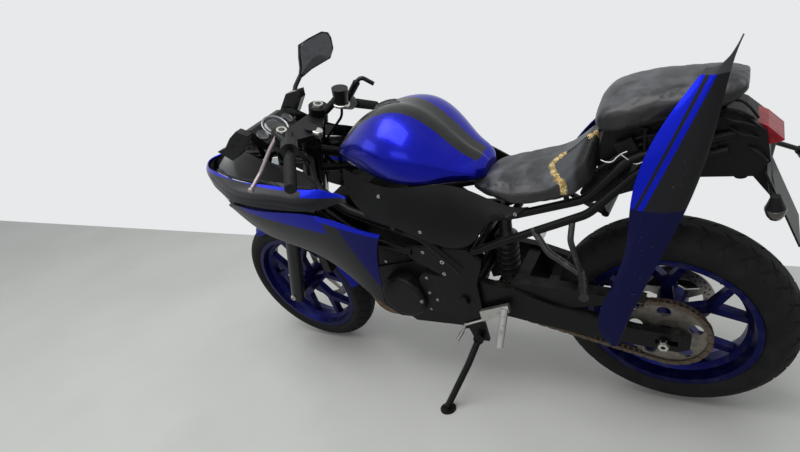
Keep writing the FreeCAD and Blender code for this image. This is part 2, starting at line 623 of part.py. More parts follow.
def fairings():
    rows = [
        [(1395, 162, 766), (1250, 192, 766), (1100, 204, 764), (968, 205, 757), (850, 202, 722), (744, 191, 684)],
        [(1392, 163, 757), (1262, 189, 722), (1120, 200, 692), (985, 203, 660), (885, 203, 630), (785, 191, 610)],
        [(1388, 162, 752), (1272, 182, 690), (1130, 190, 640), (1000, 194, 598), (905, 198, 545), (812, 190, 520)],
        [(1384, 160, 742), (1276, 176, 664), (1136, 182, 614), (1005, 186, 560), (912, 190, 470), (846, 186, 396)],
    ]
    left = skin([[Vector(*p) for p in line] for line in rows], size.panel_t)
    feature("fairing_left", left)
    feature("fairing_right", mirrored(left))


def across(lines, middles):
    """Rows of points from the left side round the front to the right side."""
    grid = []
    for line, middle in zip(lines, middles):
        left = [Vector(*p) for p in reversed(line)]
        right = [Vector(p[0], -p[1], p[2]) for p in line]
        grid.append(left + [Vector(*middle)] + right)
    return grid


def nose_cowl():
    """Band round the nose, whose two tails run to a point beside the tank."""
    rows = [
        [(1548, 62, 868), (1472, 96, 864), (1380, 122, 852), (1240, 152, 846), (1080, 172, 842),
         (930, 180, 836), (820, 180, 830)],
        [(1566, 68, 838), (1482, 110, 830), (1388, 148, 818), (1245, 182, 812), (1085, 198, 808),
         (935, 196, 803), (820, 190, 802)],
        [(1557, 70, 806), (1476, 114, 796), (1385, 154, 786), (1245, 188, 780), (1085, 203, 776),
         (935, 201, 774), (820, 194, 776)],
    ]
    middles = [(1594, 0, 870), (1617, 0, 838), (1608, 0, 804)]
    band = skin(across(rows, middles), size.panel_t, Vector(0, 0, 1))
    above = plate([(960, 848), (812, 810), (800, 810), (800, 880), (960, 880)], -260, 520)
    below = plate([(960, 768), (812, 798), (800, 798), (800, 730), (960, 730)], -260, 520)
    return feature("nose_cowl", band.cut([above, below]))


def inner_cowl():
    rows = [
        [(1480, 66, 868), (1400, 108, 858), (1240, 148, 860), (1085, 162, 851), (935, 168, 838)],
        [(1440, 50, 900), (1370, 92, 908), (1245, 138, 912), (1100, 152, 892), (955, 158, 866)],
        [(1390, 30, 930), (1335, 84, 950), (1262, 138, 982), (1170, 148, 945), (1065, 148, 900)],
    ]
    left = skin([[Vector(*p) for p in line] for line in rows], size.panel_t)
    pad = [(1290, 975), (1230, 1030), (1158, 1038), (1165, 1010), (1213, 962), (1240, 940)]
    right = mirrored(fused([left, plate(pad, size.pad_y, size.pad_t)]))
    feature("inner_cowl", Part.makeCompound([left, right]))


def mirror_bracket():
    """Bare bracket of the missing left mirror, with its two screw holes."""
    outline = [(1290, 975), (1245, 985), (1200, 1018), (1158, 1038), (1118, 1020), (1165, 975), (1213, 950), (1240, 940)]
    lump = plate(outline, size.pad_y, size.pad_t).cut(made["inner_cowl"])
    lump = max(lump.Solids, key=lambda solid: solid.Volume)
    for x, height in ((size.screw_x, size.screw_z), (size.screw_x + 40, size.screw_z - 18)):
        lump = lump.cut(rod(Vector(x, size.pad_y - 9, height), Vector(x, size.pad_y + size.pad_t + 9, height), size.screw_r))
    return feature("mirror_bracket", lump)


def front_stay():
    """Tube stay from the steering head that carries the cowls, lamps, panel and mirror."""
    r = size.stay_r + 1
    hub = on_axis(size.head_top_z - 50)
    nose = Vector(1390, 0, 880)
    spine = rod(hub + Vector(20, 0, 0), Vector(1216, 0, 880), 14)
    parts = [spine, rod(Vector(1210, 0, 880), nose, 10)]
    half = [
        tube_path([Vector(1212, 0, 880), Vector(1232, 80, 900), Vector(1225, 168, 960)], r, 50),
        rod(Vector(1228, 60, 893), Vector(1214, 70, 950), r),
        tube_path([nose - Vector(10, 0, 0), Vector(1400, 60, 850), Vector(1470, 92, 800)], r, 40),
        tube_path([Vector(1220, 40, 888), Vector(1210, 120, 830), Vector(1180, 197, 790)], r, 40),
        tube_path([Vector(1196, 150, 814), Vector(1176, 170, 740), Vector(1170, 195, 680)], r, 40),
        rod(Vector(1470, 88, 806), Vector(1470, 100, 748), r * 0.8),
    ]
    whole = fused(parts + half + [mirrored(p) for p in half])
    for side in (-1, 1):
        inside = made["nose_cowl"].copy()
        inside.translate(Vector(0, size.stay_gap * side, 0))
        whole = whole.cut(inside)
    shells = [made[name] for name in ("main_frame", "nose_cowl", "inner_cowl", "fairing_left", "fairing_right",
                                      "headlamps", "instrument_panel", "mirror_bracket")]
    whole = whole.cut(shells)
    feature("front_stay", max(whole.Solids, key=lambda solid: solid.Volume))


def headlamps():
    rows = [
        [(1566, 60, 802), (1492, 106, 793), (1405, 146, 784)],
        [(1544, 62, 772), (1484, 98, 752), (1415, 138, 742)],
        [(1512, 56, 742), (1458, 92, 722), (1405, 128, 716)],
    ]
    left = skin([[Vector(*p) for p in line] for line in rows], 4).cut(made["nose_cowl"])
    return feature("headlamps", both(max(left.Solids, key=lambda solid: solid.Volume)))


def instruments():
    housing = plate([(1166, 925), (1200, 935), (1244, 985), (1236, 1000), (1208, 1000), (1158, 948)], -80, 160, 4)
    return feature("instrument_panel", housing)


def mirror_right():
    rim = [(1213, -287, 1155), (1195, -331, 1162), (1174, -383, 1165), (1165, -403, 1154), (1162, -406, 1133),
           (1163, -397, 1096), (1172, -371, 1068), (1205, -291, 1061), (1222, -249, 1050), (1226, -239, 1055),
           (1221, -256, 1082), (1218, -268, 1116)]
    facing = Vector(0.92, -0.38, -0.06)
    middle = Vector(1190, -335, 1113)
    facing.normalize()
    flat = [Vector(*p) - facing * (Vector(*p) - middle).dot(facing) for p in rim]
    head = Part.Face(Part.makePolygon(flat + [flat[0]])).extrude(facing * 12)
    dome = [middle + (p - middle) * 0.78 for p in flat + [flat[0]]]
    head = head.fuse(Part.Face(Part.makePolygon(dome)).extrude(facing * 24))
    stalk = tube_path([Vector(1222, -168, 1010), Vector(1228, -205, 1036), Vector(1232, -262, 1062)], 8, 40)
    return feature("mirror_right", fused([stalk, head]).cut(made["inner_cowl"]))


def tail_parts():
    unit = plate([(180, 742), (60, 782), (0, 850), (-100, 925), (-148, 941), (-184, 921), (-220, 884), (-228, 816),
                  (-200, 780), (-84, 780), (60, 742), (170, 705)], -50, 100, 4)
    lamp = plate([(-180, 915), (-222, 890), (-252, 857), (-218, 848), (-186, 852)], -40, 80, 2)
    feature("tail_lamp", lamp)
    feature("undertray", unit.cut([lamp, made["main_frame"]]))
    stem = plate([(-180, 786), (-222, 792), (-288, 606), (-282, 604), (-236, 700)], -20, 40)
    board = plate([(-222, 792), (-288, 606), (-284, 605), (-218, 791)], -62, 124)
    lug = rod(Vector(-172, 0, 800), Vector(-172, 0, 752), 14)
    bar = tube_path([Vector(-238, 84, 716), Vector(-228, 40, 764), Vector(-226, -60, 764), Vector(-234, -120, 770),
                     Vector(-300, -190, 704)], 6, 20)
    lights = [Part.makeCone(9, 20, 30, Vector(-238, 84, 752), Vector(0, 0, -1)),
              Part.makeCone(20, 12, 24, Vector(-238, 84, 722), Vector(0, 0, -1)),
              Part.makeCone(10, 20, 40, Vector(-286, -176, 716), Vector(-0.55, -0.6, -0.56))]
    return feature("plate_holder", fused([stem, board, bar, lug] + lights).cut(made["undertray"]))


def tail_cowls():
    """The right side cowl in its place beside the pillion seat."""
    rows = [
        [(232, 138, 792), (120, 128, 890), (0, 108, 928), (-140, 66, 940)],
        [(236, 144, 770), (130, 138, 850), (0, 122, 895), (-172, 68, 918)],
        [(238, 140, 742), (140, 132, 798), (0, 114, 850), (-190, 66, 880)],
    ]
    right = mirrored(skin([[Vector(*p) for p in line] for line in rows], size.panel_t))
    feature("tail_cowl_right", right)


def hanging_cowl():
    """The torn left side cowl, which hangs straight down from its rear fixing."""
    def hang(x, height, out=0.0):
        return Vector(x, 92 + (1090 - height) * math.tan(lean) + out, height)

    hung = [
        [hang(-181, 1100), hang(-150, 1060, 6), hang(-118, 1050)],
        [hang(-150, 1000), hang(-100, 960, 14), hang(-40, 950)],
        [hang(-110, 850), hang(-60, 820, 16), hang(30, 800)],
        [hang(-55, 715), hang(0, 700, 14), hang(48, 690)],
        [hang(20, 560), hang(60, 560, 10), hang(95, 560)],
        [hang(88, 400), hang(98, 400, 4), hang(108, 400)],
    ]
    tab = rod(hang(-100, 872, -90), hang(-100, 872, 12), size.stay_r)
    left = fused([skin(hung, size.panel_t), tab]).cut(made["main_frame"])
    feature("tail_cowl_left", max(left.Solids, key=lambda solid: solid.Volume))


def steps():
    """Foot rests: bracket, peg and pedal of the rider, stay and peg of the passenger."""
    outer_y = size.plate_y + size.plate_t
    bracket = plate([(pivot_x - 48, 372), (pivot_x - 150, 412), (pivot_x - 150, 384), (pivot_x - 72, 340),
                     (pivot_x - 46, 330)], outer_y, 12)
    pedal = fused([rod(Vector(612, outer_y + 2, 262), Vector(618, 176, 256), 6),
                   rod(Vector(612, outer_y + 4, 262), Vector(590, outer_y + 6, 302), 5),
                   rod(Vector(588, outer_y + 6, 300), Vector(506, outer_y + 6, 338), 4)])
    stay = tube_path([Vector(300, 112, 668), Vector(260, 136, 610), Vector(180, 142, 548)], 9, 40)
    stay_two = tube_path([Vector(190, 102, 700), Vector(196, 134, 650), Vector(180, 142, 548)], 8, 40)
    frame = made["main_frame"]
    bent_peg = rod(Vector(pivot_x - 138, outer_y + 10, 398), Vector(452, 200, 286), 11)
    folded_rest = rod(Vector(180, 136, 548), Vector(150, 236, 556), 12)
    rider_side = fused([bracket, bent_peg, pedal]).cut(frame)
    passenger_side = fused([stay, stay_two, folded_rest]).cut(frame)
    feature("steps_left", Part.makeCompound(rider_side.Solids + passenger_side.Solids))
    right_peg = rod(Vector(pivot_x - 138, -outer_y - 2, 398), Vector(pivot_x - 138, -236, 398), 11)
    brake = tube_path([Vector(pivot_x - 70, -outer_y - 6, 352), Vector(570, -160, 320), Vector(650, -176, 318)], 6, 40)
    right_rest = rod(Vector(180, -136, 548), Vector(170, -240, 556), 12)
    rider_side = fused([mirrored(bracket), right_peg, brake]).cut(frame)
    passenger_side = fused([mirrored(stay), mirrored(stay_two), right_rest]).cut(frame)
    feature("steps_right", Part.makeCompound(rider_side.Solids + passenger_side.Solids))


def rear_caliper():
    bracket = plate([(-20, 330), (30, 300), (110, 340), (120, 390), (60, 400), (20, 350)], -size.arm_in + 2, 10)
    body = plate([(40, 348), (118, 350), (124, 398), (52, 404)], -size.arm_in + 10, 14, 4)
    spindle = rod(rear_axle - Vector(0, 200, 0), rear_axle, size.spindle_r + 6)
    return feature("rear_caliper", fused([bracket, body]).cut([spindle, made["swingarm"]]))


def front_axle_parts():
    reach = size.fork_pitch / 2
    legs = []
    for side in (-1, 1):
        offset = Vector(0, reach * side, 0)
        low = front_axle + offset - steer_dir * 22
        top_run = (size.fork_top_z - size.front_tyre_r) / steer_dir.z
        top = front_axle + offset + steer_dir * top_run
        slider_top = front_axle + offset + steer_dir * 330
        legs.append(rod(low, slider_top, size.fork_slider_r))
        legs.append(rod(slider_top, top, size.fork_tube_r))
    spindle = rod(front_axle + Vector(0, -reach - 32, 0), front_axle + Vector(0, reach + 32, 0), size.spindle_r)
    gap = reach - size.fork_slider_r - size.hub_w / 2
    spacer = Part.makeCylinder(16, gap - size.hub_gap + 2,
                               front_axle + Vector(0, size.hub_w / 2 + size.hub_gap, 0), Vector(0, 1, 0))
    whole = fused(legs + [spindle, spacer, mirrored(spacer)])
    feature("fork", whole)


def fork_line(height, side):
    run = (height - size.front_tyre_r) / steer_dir.z
    return front_axle + Vector(0, side * size.fork_pitch / 2, 0) + steer_dir * run


def clamps():
    parts = []
    for height in (size.clamp_top_z, size.clamp_low_z):
        start = on_axis(height)
        ears = []
        for side in (-1, 1):
            ear = rod(fork_line(height + 6, side), fork_line(height + 6, side) + steer_dir * size.clamp_t, 31)
            parts.append(ear)
        boss = rod(start, start + steer_dir * size.clamp_t, 30)
        parts.append(boss)
        a = fork_line(height + 6, 1)
        b = fork_line(height + 6, -1)
        corners = [start - steer_fwd * 26 + Vector(0, 20, 0), a - steer_fwd * 24, a + steer_fwd * 24,
                   b + steer_fwd * 24, b - steer_fwd * 24, start - steer_fwd * 26 - Vector(0, 20, 0)]
        base = start
        flat = [p - steer_dir * (p - base).dot(steer_dir) for p in corners]
        web = Part.Face(Part.makePolygon(flat + [flat[0]])).extrude(steer_dir * size.clamp_t)
        parts.append(web)
    stem = rod(on_axis(size.clamp_low_z), on_axis(size.clamp_top_z + 25), size.head_bore_r - size.stem_fit)
    whole = fused(parts + [stem])
    for side in (-1, 1):
        whole = whole.cut(rod(fork_line(600, side), fork_line(1100, side), size.fork_tube_r))
    feature("fork_clamps", whole)


def bar_line(side):
    """A handlebar's ends and direction; the right bar is knocked forward and down."""
    inner = Vector(size.bar_in_x, side * size.bar_in_y, size.bar_in_z)
    outer = Vector(size.bar_out_x, size.bar_out_y, size.bar_out_z)
    if side < 0:
        outer = Vector(size.bent_out_x, -size.bent_out_y, size.bent_out_z)
    return inner, outer, Vector(outer - inner).normalize()


def bars():
    parts = []
    grips = []
    for side in (1, -1):
        centre = fork_line(size.clamp_top_z + 34, side)
        inner, outer, run = bar_line(side)
        ring = rod(centre, centre + steer_dir * 26, 32)
        tube = rod(inner, outer - run * 4, size.bar_r)
        neck = rod(centre + steer_dir * 13 - steer_fwd * 26, inner + run * 9, size.bar_r + 2)
        ring = fused([ring, tube, neck])
        parts.append(ring.cut(rod(fork_line(900, side), fork_line(1150, side), size.fork_tube_r)))
        grip = rod(outer - run * size.grip_len, outer, size.grip_r)
        grips.append(grip.cut(rod(inner, outer - run * 4, size.bar_r)))
    feature("handlebars", Part.makeCompound(parts))
    feature("grips", Part.makeCompound(grips))


def levers():
    """Switch housings with the clutch lever, and the brake cylinder whose lever is broken off."""
    parts = []
    for side in (1, -1):
        inner, outer, run = bar_line(side)
        spot = inner + run * 62
        box = rod(spot, spot + run * 42, 25)
        if side > 0:
            perch = rod(spot + run * 8, Vector(1004, 158, 1014), 9)
            end = Vector(1062, 286, 902)
            lever = tube_path([Vector(1001, 156, 1014), Vector(1024, 190, 981), Vector(1053, 232, 931), end], 6, 40)
            extra = [perch, lever, Part.makeSphere(9, end)]
        else:
            post = rod(spot + run * 14, Vector(928, -172, 1027), 12)
            stub = tube_path([Vector(930, -168, 1027), Vector(910, -182, 1040), Vector(884, -200, 1006)], 7, 24)
            cup = Part.makeCone(22, 27, 62, Vector(988, -130, 972), Vector(-20, 0, 58))
            arm = rod(Vector(984, -134, 984), spot + run * 12, 8)
            extra = [post, stub, cup, arm]
        whole = fused([box] + extra).cut(rod(inner - run * 40, outer, size.bar_r))
        parts.append(whole.cut([made["handlebars"], made["fork"]]))
    feature("levers", Part.makeCompound(parts))


def front_fender():
    clear = 16.0
    r = size.front_tyre_r + clear
    half = size.front_tyre_w / 2 + 9
    pts = [Vector(0, -half, r - 36), Vector(0, -half * 0.72, r - 6), Vector(0, 0, r + 3), Vector(0, half * 0.72, r - 6),
           Vector(0, half, r - 36)]
    inner = [Vector(0, p.y * 0.95, p.z - 3) for p in pts]
    outer_curve = Part.BSplineCurve()
    outer_curve.interpolate(pts)
    inner_curve = Part.BSplineCurve()
    inner_curve.interpolate(inner)
    wire = Part.Wire([outer_curve.toShape(), Part.makeLine(pts[-1], inner[-1]), inner_curve.toShape(),
                      Part.makeLine(inner[0], pts[0])])
    face = Part.Face(Part.Wire(Part.sortEdges(wire.Edges)[0]))
    arch = face.revolve(Vector(0, 0, 0), Vector(0, 1, 0), -105)
    arch.rotate(Vector(0, 0, 0), Vector(0, 1, 0), 22)
    arch.translate(front_axle)
    stays = []
    for side in (-1, 1):
        spot = front_axle + Vector(0, side * (size.fork_pitch / 2 - size.fork_slider_r), 0) + steer_dir * 284
        out = Vector(spot.x, side * (half - 3), spot.z)
        stays.append(rod(spot, out, 9))
    return feature("front_fender", fused([arch] + stays))


def front_caliper():
    centre = front_axle + Vector(0, -74, 0) + steer_dir * 118 - steer_fwd * 52
    body = plate([(-34, -40), (34, -34), (38, 36), (-30, 42)], -18, 36, 6)
    slot = Part.makeCylinder(size.front_disc_r + 3, size.disc_t + 3,
                             front_axle + Vector(0, front_disc_y - size.disc_t / 2 - 1.5, 0), Vector(0, 1, 0))
    body.translate(Vector(centre.x, -size.fork_pitch / 2 + 26, centre.z))
    foot = Vector(centre.x, -size.fork_pitch / 2, centre.z)
    lug = rod(foot, foot + steer_fwd * 30, 9)
    return feature("front_caliper", fused([body, lug]).cut([slot, made["fork"]]))


stand_tilt = math.radians(size.stand_axis_deg)
stand_axis = Vector(0, math.cos(stand_tilt), math.sin(stand_tilt))
stand_pivot = Vector(size.stand_x, size.stand_y, size.stand_z)


def cables():
    """Clutch cable, switch wiring and front brake hose, looped under the upper clamp and turning with it."""
    ear = fork_line(size.clamp_top_z + 11, 1)
    clutch_end = ear - steer_fwd * 25.5
    wiring_end = ear + Vector(0, 25.5, 0)
    clutch = tube_path([Vector(1004, 152, 1006), Vector(970, 150, 968), Vector(955, 138, 922), Vector(972, 116, 884),
                        clutch_end - steer_dir * 44, clutch_end], size.cable_r, 60)
    wiring = tube_path([Vector(946, 176, 968), Vector(938, 164, 934), Vector(968, 134, 902), wiring_end - steer_dir * 48,
                        wiring_end], size.wiring_r, 50)
    outer = [fork_line(height, -1) - Vector(0, out, 0) for height, out in ((850, 33), (760, 36), (620, 33))]
    hose = tube_path([Vector(986, -131, 976), Vector(1012, -138, 930)] + outer +
                     [fork_line(500, -1) - steer_fwd * 24 - Vector(0, 26, 0), Vector(1288, -84, 414)], size.hose_r, 70)
    held = [made[name] for name in ("levers", "handlebars", "grips", "fork", "fork_clamps", "front_caliper")]
    runs = [run.cut(held) for run in (clutch, wiring, hose)]
    feature("cables", Part.makeCompound([max(run.Solids, key=lambda solid: solid.Volume) for run in runs]))


def stand_pin(radius, start, length):
    """Round along the stand's tilted hinge axis, from a distance outside its bracket."""
    return rod(stand_pivot + stand_axis * start, stand_pivot + stand_axis * (start + length), radius)


def side_stand():
    foot_z = (size.stand_spread * math.sin(lean) - tread_rise(size.rear_tyre_w)) / math.cos(lean)
    foot = Vector(size.stand_x + size.stand_reach, size.stand_spread, foot_z)
    up = Vector(0, -math.sin(lean), math.cos(lean))
    top = stand_pivot + stand_axis * 7
    heel = foot + up * (size.foot_t + size.stand_r * 0.6)
    leg = tube_path([top, top + (heel - top) * 0.3 + Vector(0, 8, -8), heel], size.stand_r, 80)
    pad = Part.makeCylinder(size.foot_r, size.foot_t, foot, up)
    eye = stand_pin(17, 2, 10)
    whole = fused([leg, pad, eye]).cut(stand_pin(size.stand_pin_r + size.pin_fit, -30, 90))
    whole = whole.cut(stand_pin(40, -30, 32))
    feature("side_stand", max(whole.Solids, key=lambda solid: solid.Volume))


front_disc_y = -size.hub_w / 2 - size.disc_t / 2
rear_disc_y = -size.rear_hub_w / 2 - size.disc_t / 2

fuel_tank()
seat()
pillion()
side_covers()
fairings()
nose_cowl()
inner_cowl()
mirror_bracket()
headlamps()
instruments()
tail_cowls()
main_frame()
hanging_cowl()
front_stay()
engine()
exhaust()
radiator()
swingarm()
chain_band()
chain_guard()
shock()
rear_caliper()
mirror_right()
tail_parts()
steps()
front_axle_parts()
clamps()
bars()
levers()
front_fender()
front_caliper()
cables()
side_stand()
rear_sprocket()
tyre("front_tyre", size.front_tyre_r, size.front_tyre_w, size.front_rim_w, front_axle)
tyre("rear_tyre", size.rear_tyre_r, size.rear_tyre_w, size.rear_rim_w, rear_axle)
wheel("front_rim", size.front_rim_w, size.hub_w, front_axle)
wheel("rear_rim", size.rear_rim_w, size.rear_hub_w, rear_axle)
brake_disc("front_disc", size.front_disc_r, front_disc_y, front_axle)
brake_disc("rear_disc", size.rear_disc_r, rear_disc_y, rear_axle)
doc.recompute()

for obj in doc.Objects:
    if "Invalid" in obj.State or "Error" in obj.State:
        raise RuntimeError("%s did not build" % obj.Label)

# Lean over to the left, tyres on the floor, and centre the whole above the origin.
tilt = Rotation(Vector(1, 0, 0), -size.lean_deg)
rear_rise = tread_rise(size.rear_tyre_w)
front_rise = tread_rise(size.front_tyre_w)
pitch = Rotation(Vector(0, 1, 0), math.degrees(math.atan((rear_rise - front_rise) / front_x)))
parked = Placement(Vector(0, 0, rear_rise), pitch).multiply(Placement(Vector(), tilt))
box = FreeCAD.BoundBox()
for label, obj, local in pieces:
    shape = obj.Shape.copy()
    shape.Placement = parked.multiply(local)
    shape_box = shape.optimalBoundingBox(False)
    print(label, "solids", len(shape.Solids), "volume %.0f" % (shape.Volume / 1000), "valid", shape.isValid(),
          "box",
          [round(v) for v in (shape_box.XMin, shape_box.YMin, shape_box.ZMin, shape_box.XMax, shape_box.YMax, shape_box.ZMax)])
    box.add(shape_box)
centre = Placement(Vector(-box.Center.x, -box.Center.y, -box.ZMin), Rotation())
parked = centre.multiply(parked)
print("parked", [round(v, 6) for v in parked.toMatrix().A])
for label, obj, local in pieces:
    obj.Placement = parked.multiply(local)
doc.recompute()

os.makedirs("parts", exist_ok=True)
for label, obj, _ in pieces:
    if obj.Shape.isNull() or not obj.Shape.isValid():
        raise RuntimeError("%s has no sound shape" % label)
    obj.Shape.exportStep("parts/%s.step" % label)
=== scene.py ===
import math

import bmesh
import bpy
from mathutils import Matrix, Vector


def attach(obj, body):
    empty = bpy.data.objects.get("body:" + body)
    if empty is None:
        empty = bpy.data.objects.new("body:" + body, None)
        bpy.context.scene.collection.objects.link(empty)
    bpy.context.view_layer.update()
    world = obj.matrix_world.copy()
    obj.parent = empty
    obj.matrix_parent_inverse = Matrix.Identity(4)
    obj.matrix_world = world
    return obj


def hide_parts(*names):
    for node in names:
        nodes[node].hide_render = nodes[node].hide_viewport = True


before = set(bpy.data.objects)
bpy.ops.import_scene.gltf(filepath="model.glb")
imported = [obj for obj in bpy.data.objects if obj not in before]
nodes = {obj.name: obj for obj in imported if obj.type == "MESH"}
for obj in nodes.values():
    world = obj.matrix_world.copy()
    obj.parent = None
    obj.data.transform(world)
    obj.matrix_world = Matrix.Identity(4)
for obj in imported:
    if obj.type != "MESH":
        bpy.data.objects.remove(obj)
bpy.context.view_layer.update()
scene = bpy.context.scene
scene.view_settings.view_transform = "Standard"

# The machine was drawn upright in millimetres (X forward, Y left, Z up, rear axle above X = 0).
# This is where it stands parked: leaning over on its stand, centred above the origin.
LEAN = math.radians(-11.5)
PITCH = math.radians(0.0276)
STANDS_AT = Vector((-0.6743, -0.17148, 0.00339))
PARKED = Matrix.Translation(STANDS_AT) @ Matrix.Rotation(PITCH, 4, "Y") @ Matrix.Rotation(LEAN, 4, "X")

RAKE = math.radians(25.0)
FRONT_AXLE = Vector((1380, 0, 293))
REAR_AXLE = Vector((0, 0, 314))
STEER_UP = Vector((-math.sin(RAKE), 0, math.cos(RAKE)))


def spot(*point):
    """A point of the upright machine, in millimetres, where it stands parked."""
    return PARKED @ (Vector(point) / 1000)


def way(*direction):
    """A direction of the upright machine, as it stands parked."""
    return (PARKED.to_3x3() @ Vector(direction)).normalized()


def linear(text):
    """An sRGB hex colour as the linear colour that a shader takes."""
    values = [int(text[i:i + 2], 16) / 255 for i in (1, 3, 5)]
    return [v / 12.92 if v <= 0.04045 else ((v + 0.055) / 1.055) ** 2.4 for v in values] + [1.0]


def add(tree, kind, sockets=None, **settings):
    """Adds a node with its settings, and its inputs as values or as links from other sockets."""
    made = tree.nodes.new(kind)
    for name, value in settings.items():
        setattr(made, name, value)
    for key, value in (sockets or {}).items():
        socket = made.inputs[key]
        if isinstance(value, bpy.types.NodeSocket):
            tree.links.new(value, socket)
        else:
            socket.default_value = value
    return made


class Finish:
    """A material in the making: its tree, its shader and the coordinates that its patterns read."""

    def __init__(self, name, base, rough=0.5, **shader):
        self.material = bpy.data.materials.new(name)
        self.material.use_nodes = True
        self.tree = self.material.node_tree
        self.shader = self.tree.nodes["Principled BSDF"]
        self.shader.inputs["Base Color"].default_value = linear(base)
        self.shader.inputs["Roughness"].default_value = rough
        self.material.diffuse_color = linear(base)
        for key, value in shader.items():
            self.shader.inputs[key.replace("_", " ")].default_value = value
        self.at = add(self.tree, "ShaderNodeTexCoord").outputs["Object"]
        # The same coordinates along the upright machine, so that a colour field can follow its lines.
        turned = {"Vector": self.at, "Location": STANDS_AT, "Rotation": (LEAN, 0, 0)}
        self.upright = add(self.tree, "ShaderNodeMapping", turned, vector_type="TEXTURE").outputs["Vector"]

    def patches(self, size_mm, low, high, most=1.0, detail=5.0):
        """Cloudy patches of a real size, from 0 to most."""
        cloud = add(self.tree, "ShaderNodeTexNoise", {
            "Vector": self.at, "Scale": 1000.0 / size_mm, "Detail": detail, "Roughness": 0.55})
        fade = {"Value": cloud.outputs["Fac"], "From Min": low, "From Max": high, "To Max": most}
        return add(self.tree, "ShaderNodeMapRange", fade).outputs["Result"]

    def spots(self, size_mm, low, high, most=1.0):
        """Round spots of a real size, most at their middles."""
        cells = add(self.tree, "ShaderNodeTexVoronoi", {"Vector": self.at, "Scale": 1000.0 / size_mm})
        fade = {"Value": cells.outputs["Distance"], "From Min": low, "From Max": high, "To Min": most,
                "To Max": 0.0}
        return add(self.tree, "ShaderNodeMapRange", fade).outputs["Result"]

    def beyond(self, normal, offset_mm, soft_mm=1.0):
        """1 on the side of a plane of the machine that its normal points to."""
        dot = add(self.tree, "ShaderNodeVectorMath", {0: self.upright, 1: Vector(normal).normalized()},
                  operation="DOT_PRODUCT").outputs["Value"]
        half = soft_mm / 2000
        edge = {"Value": dot, "From Min": offset_mm / 1000 - half, "From Max": offset_mm / 1000 + half}
        return add(self.tree, "ShaderNodeMapRange", edge).outputs["Result"]

    def near(self, centre_mm, inner_mm, outer_mm):
        """1 inside a ball about a point of the machine, fading to 0."""
        far = add(self.tree, "ShaderNodeVectorMath", {0: self.upright, 1: Vector(centre_mm) / 1000},
                  operation="DISTANCE").outputs["Value"]
        fade = {"Value": far, "From Min": inner_mm / 1000, "From Max": outer_mm / 1000, "To Min": 1.0,
                "To Max": 0.0}
        return add(self.tree, "ShaderNodeMapRange", fade).outputs["Result"]

    def tint(self, colour, *masks, amount=1.0, rough=None, metal=None):
        """Lays another colour, and roughness or metal, over what is there, where all the masks are."""
        where = masks[0]
        for mask in list(masks[1:]) + ([amount] if amount != 1.0 else []):
            where = add(self.tree, "ShaderNodeMath", {0: where, 1: mask}, operation="MULTIPLY").outputs[0]
        for key, value in (("Roughness", rough), ("Metallic", metal)):
            if value is not None:
                socket = self.shader.inputs[key]
                under = socket.links[0].from_socket if socket.links else socket.default_value
                mix = add(self.tree, "ShaderNodeMix", {0: where, 2: under, 3: value})
                self.tree.links.new(mix.outputs[0], socket)
        socket = self.shader.inputs["Base Color"]
        under = socket.links[0].from_socket if socket.links else list(socket.default_value)
        mix = add(self.tree, "ShaderNodeMix", {0: where, 6: under, 7: linear(colour)}, data_type="RGBA")
        self.tree.links.new(mix.outputs[2], socket)

    def relief(self, kind, output, size_mm, depth_mm, strength=0.5, **sockets):
        """Adds the bump of a texture, with a real size and depth, over any that is there."""
        sockets = {key.replace("_", " "): value for key, value in sockets.items()}
        texture = add(self.tree, kind, {"Vector": self.at, "Scale": 1000.0 / size_mm, **sockets})
        bump = {"Height": texture.outputs[output], "Distance": depth_mm / 1000, "Strength": strength}
        socket = self.shader.inputs["Normal"]
        if socket.links:
            bump["Normal"] = socket.links[0].from_socket
        self.tree.links.new(add(self.tree, "ShaderNodeBump", bump).outputs["Normal"], socket)

    def grain(self, size_mm, depth_mm, strength=0.5, detail=3.0):
        self.relief("ShaderNodeTexNoise", "Fac", size_mm, depth_mm, strength, Detail=detail)

    def pebbles(self, size_mm, depth_mm, strength=0.5):
        self.relief("ShaderNodeTexVoronoi", "Distance", size_mm, depth_mm, strength)

    def dust(self, amount=0.35, colour="#8d8a84"):
        """Fine grey dust that has settled on what faces up, in cloudy patches."""
        normal = add(self.tree, "ShaderNodeNewGeometry").outputs["Normal"]
        height = add(self.tree, "ShaderNodeSeparateXYZ", {0: normal}).outputs["Z"]
        rising = {"Value": height, "From Min": 0.3, "From Max": 1.0}
        facing = add(self.tree, "ShaderNodeMapRange", rising).outputs["Result"]
        self.tint(colour, self.patches(60, 0.42, 0.68), facing, amount=amount, rough=0.8)


# Candy enamel over a metallic base under a clear coat: deep blue in the shade, bright in the light.
tank_enamel = Finish("candy_enamel", "#0a129c", 0.28, Metallic=0.85, Specular_IOR_Level=0.3, Coat_Weight=0.15)
tank_enamel.pebbles(0.9, 0.01, 0.15)
tank_enamel.grain(18, 0.06, 0.25)
# Its centre cover is gloss black plastic, which widens towards the front.
for side in (1, -1):
    cover_edge = tank_enamel.beyond((0.12, -side, 0), 14, 2)
    cover_half = tank_enamel.beyond((0, side, 0), -1, 1)
    tank_enamel.tint("#060608", cover_edge, cover_half, tank_enamel.beyond((0, 0, 1), 835, 2),
                     rough=0.3, metal=0.0)
tank_enamel.dust(0.06)

# Powder coat on cast wheels: darker and more matt than the tank, with brake dust on it.
wheel_enamel = Finish("wheel_powder_coat", "#060a44", 0.36, Metallic=0.8, Specular_IOR_Level=0.3)
wheel_enamel.grain(1.6, 0.04, 0.4)
wheel_enamel.tint("#3a3734", wheel_enamel.patches(34, 0.5, 0.75, 0.35), rough=0.75, metal=0.0)

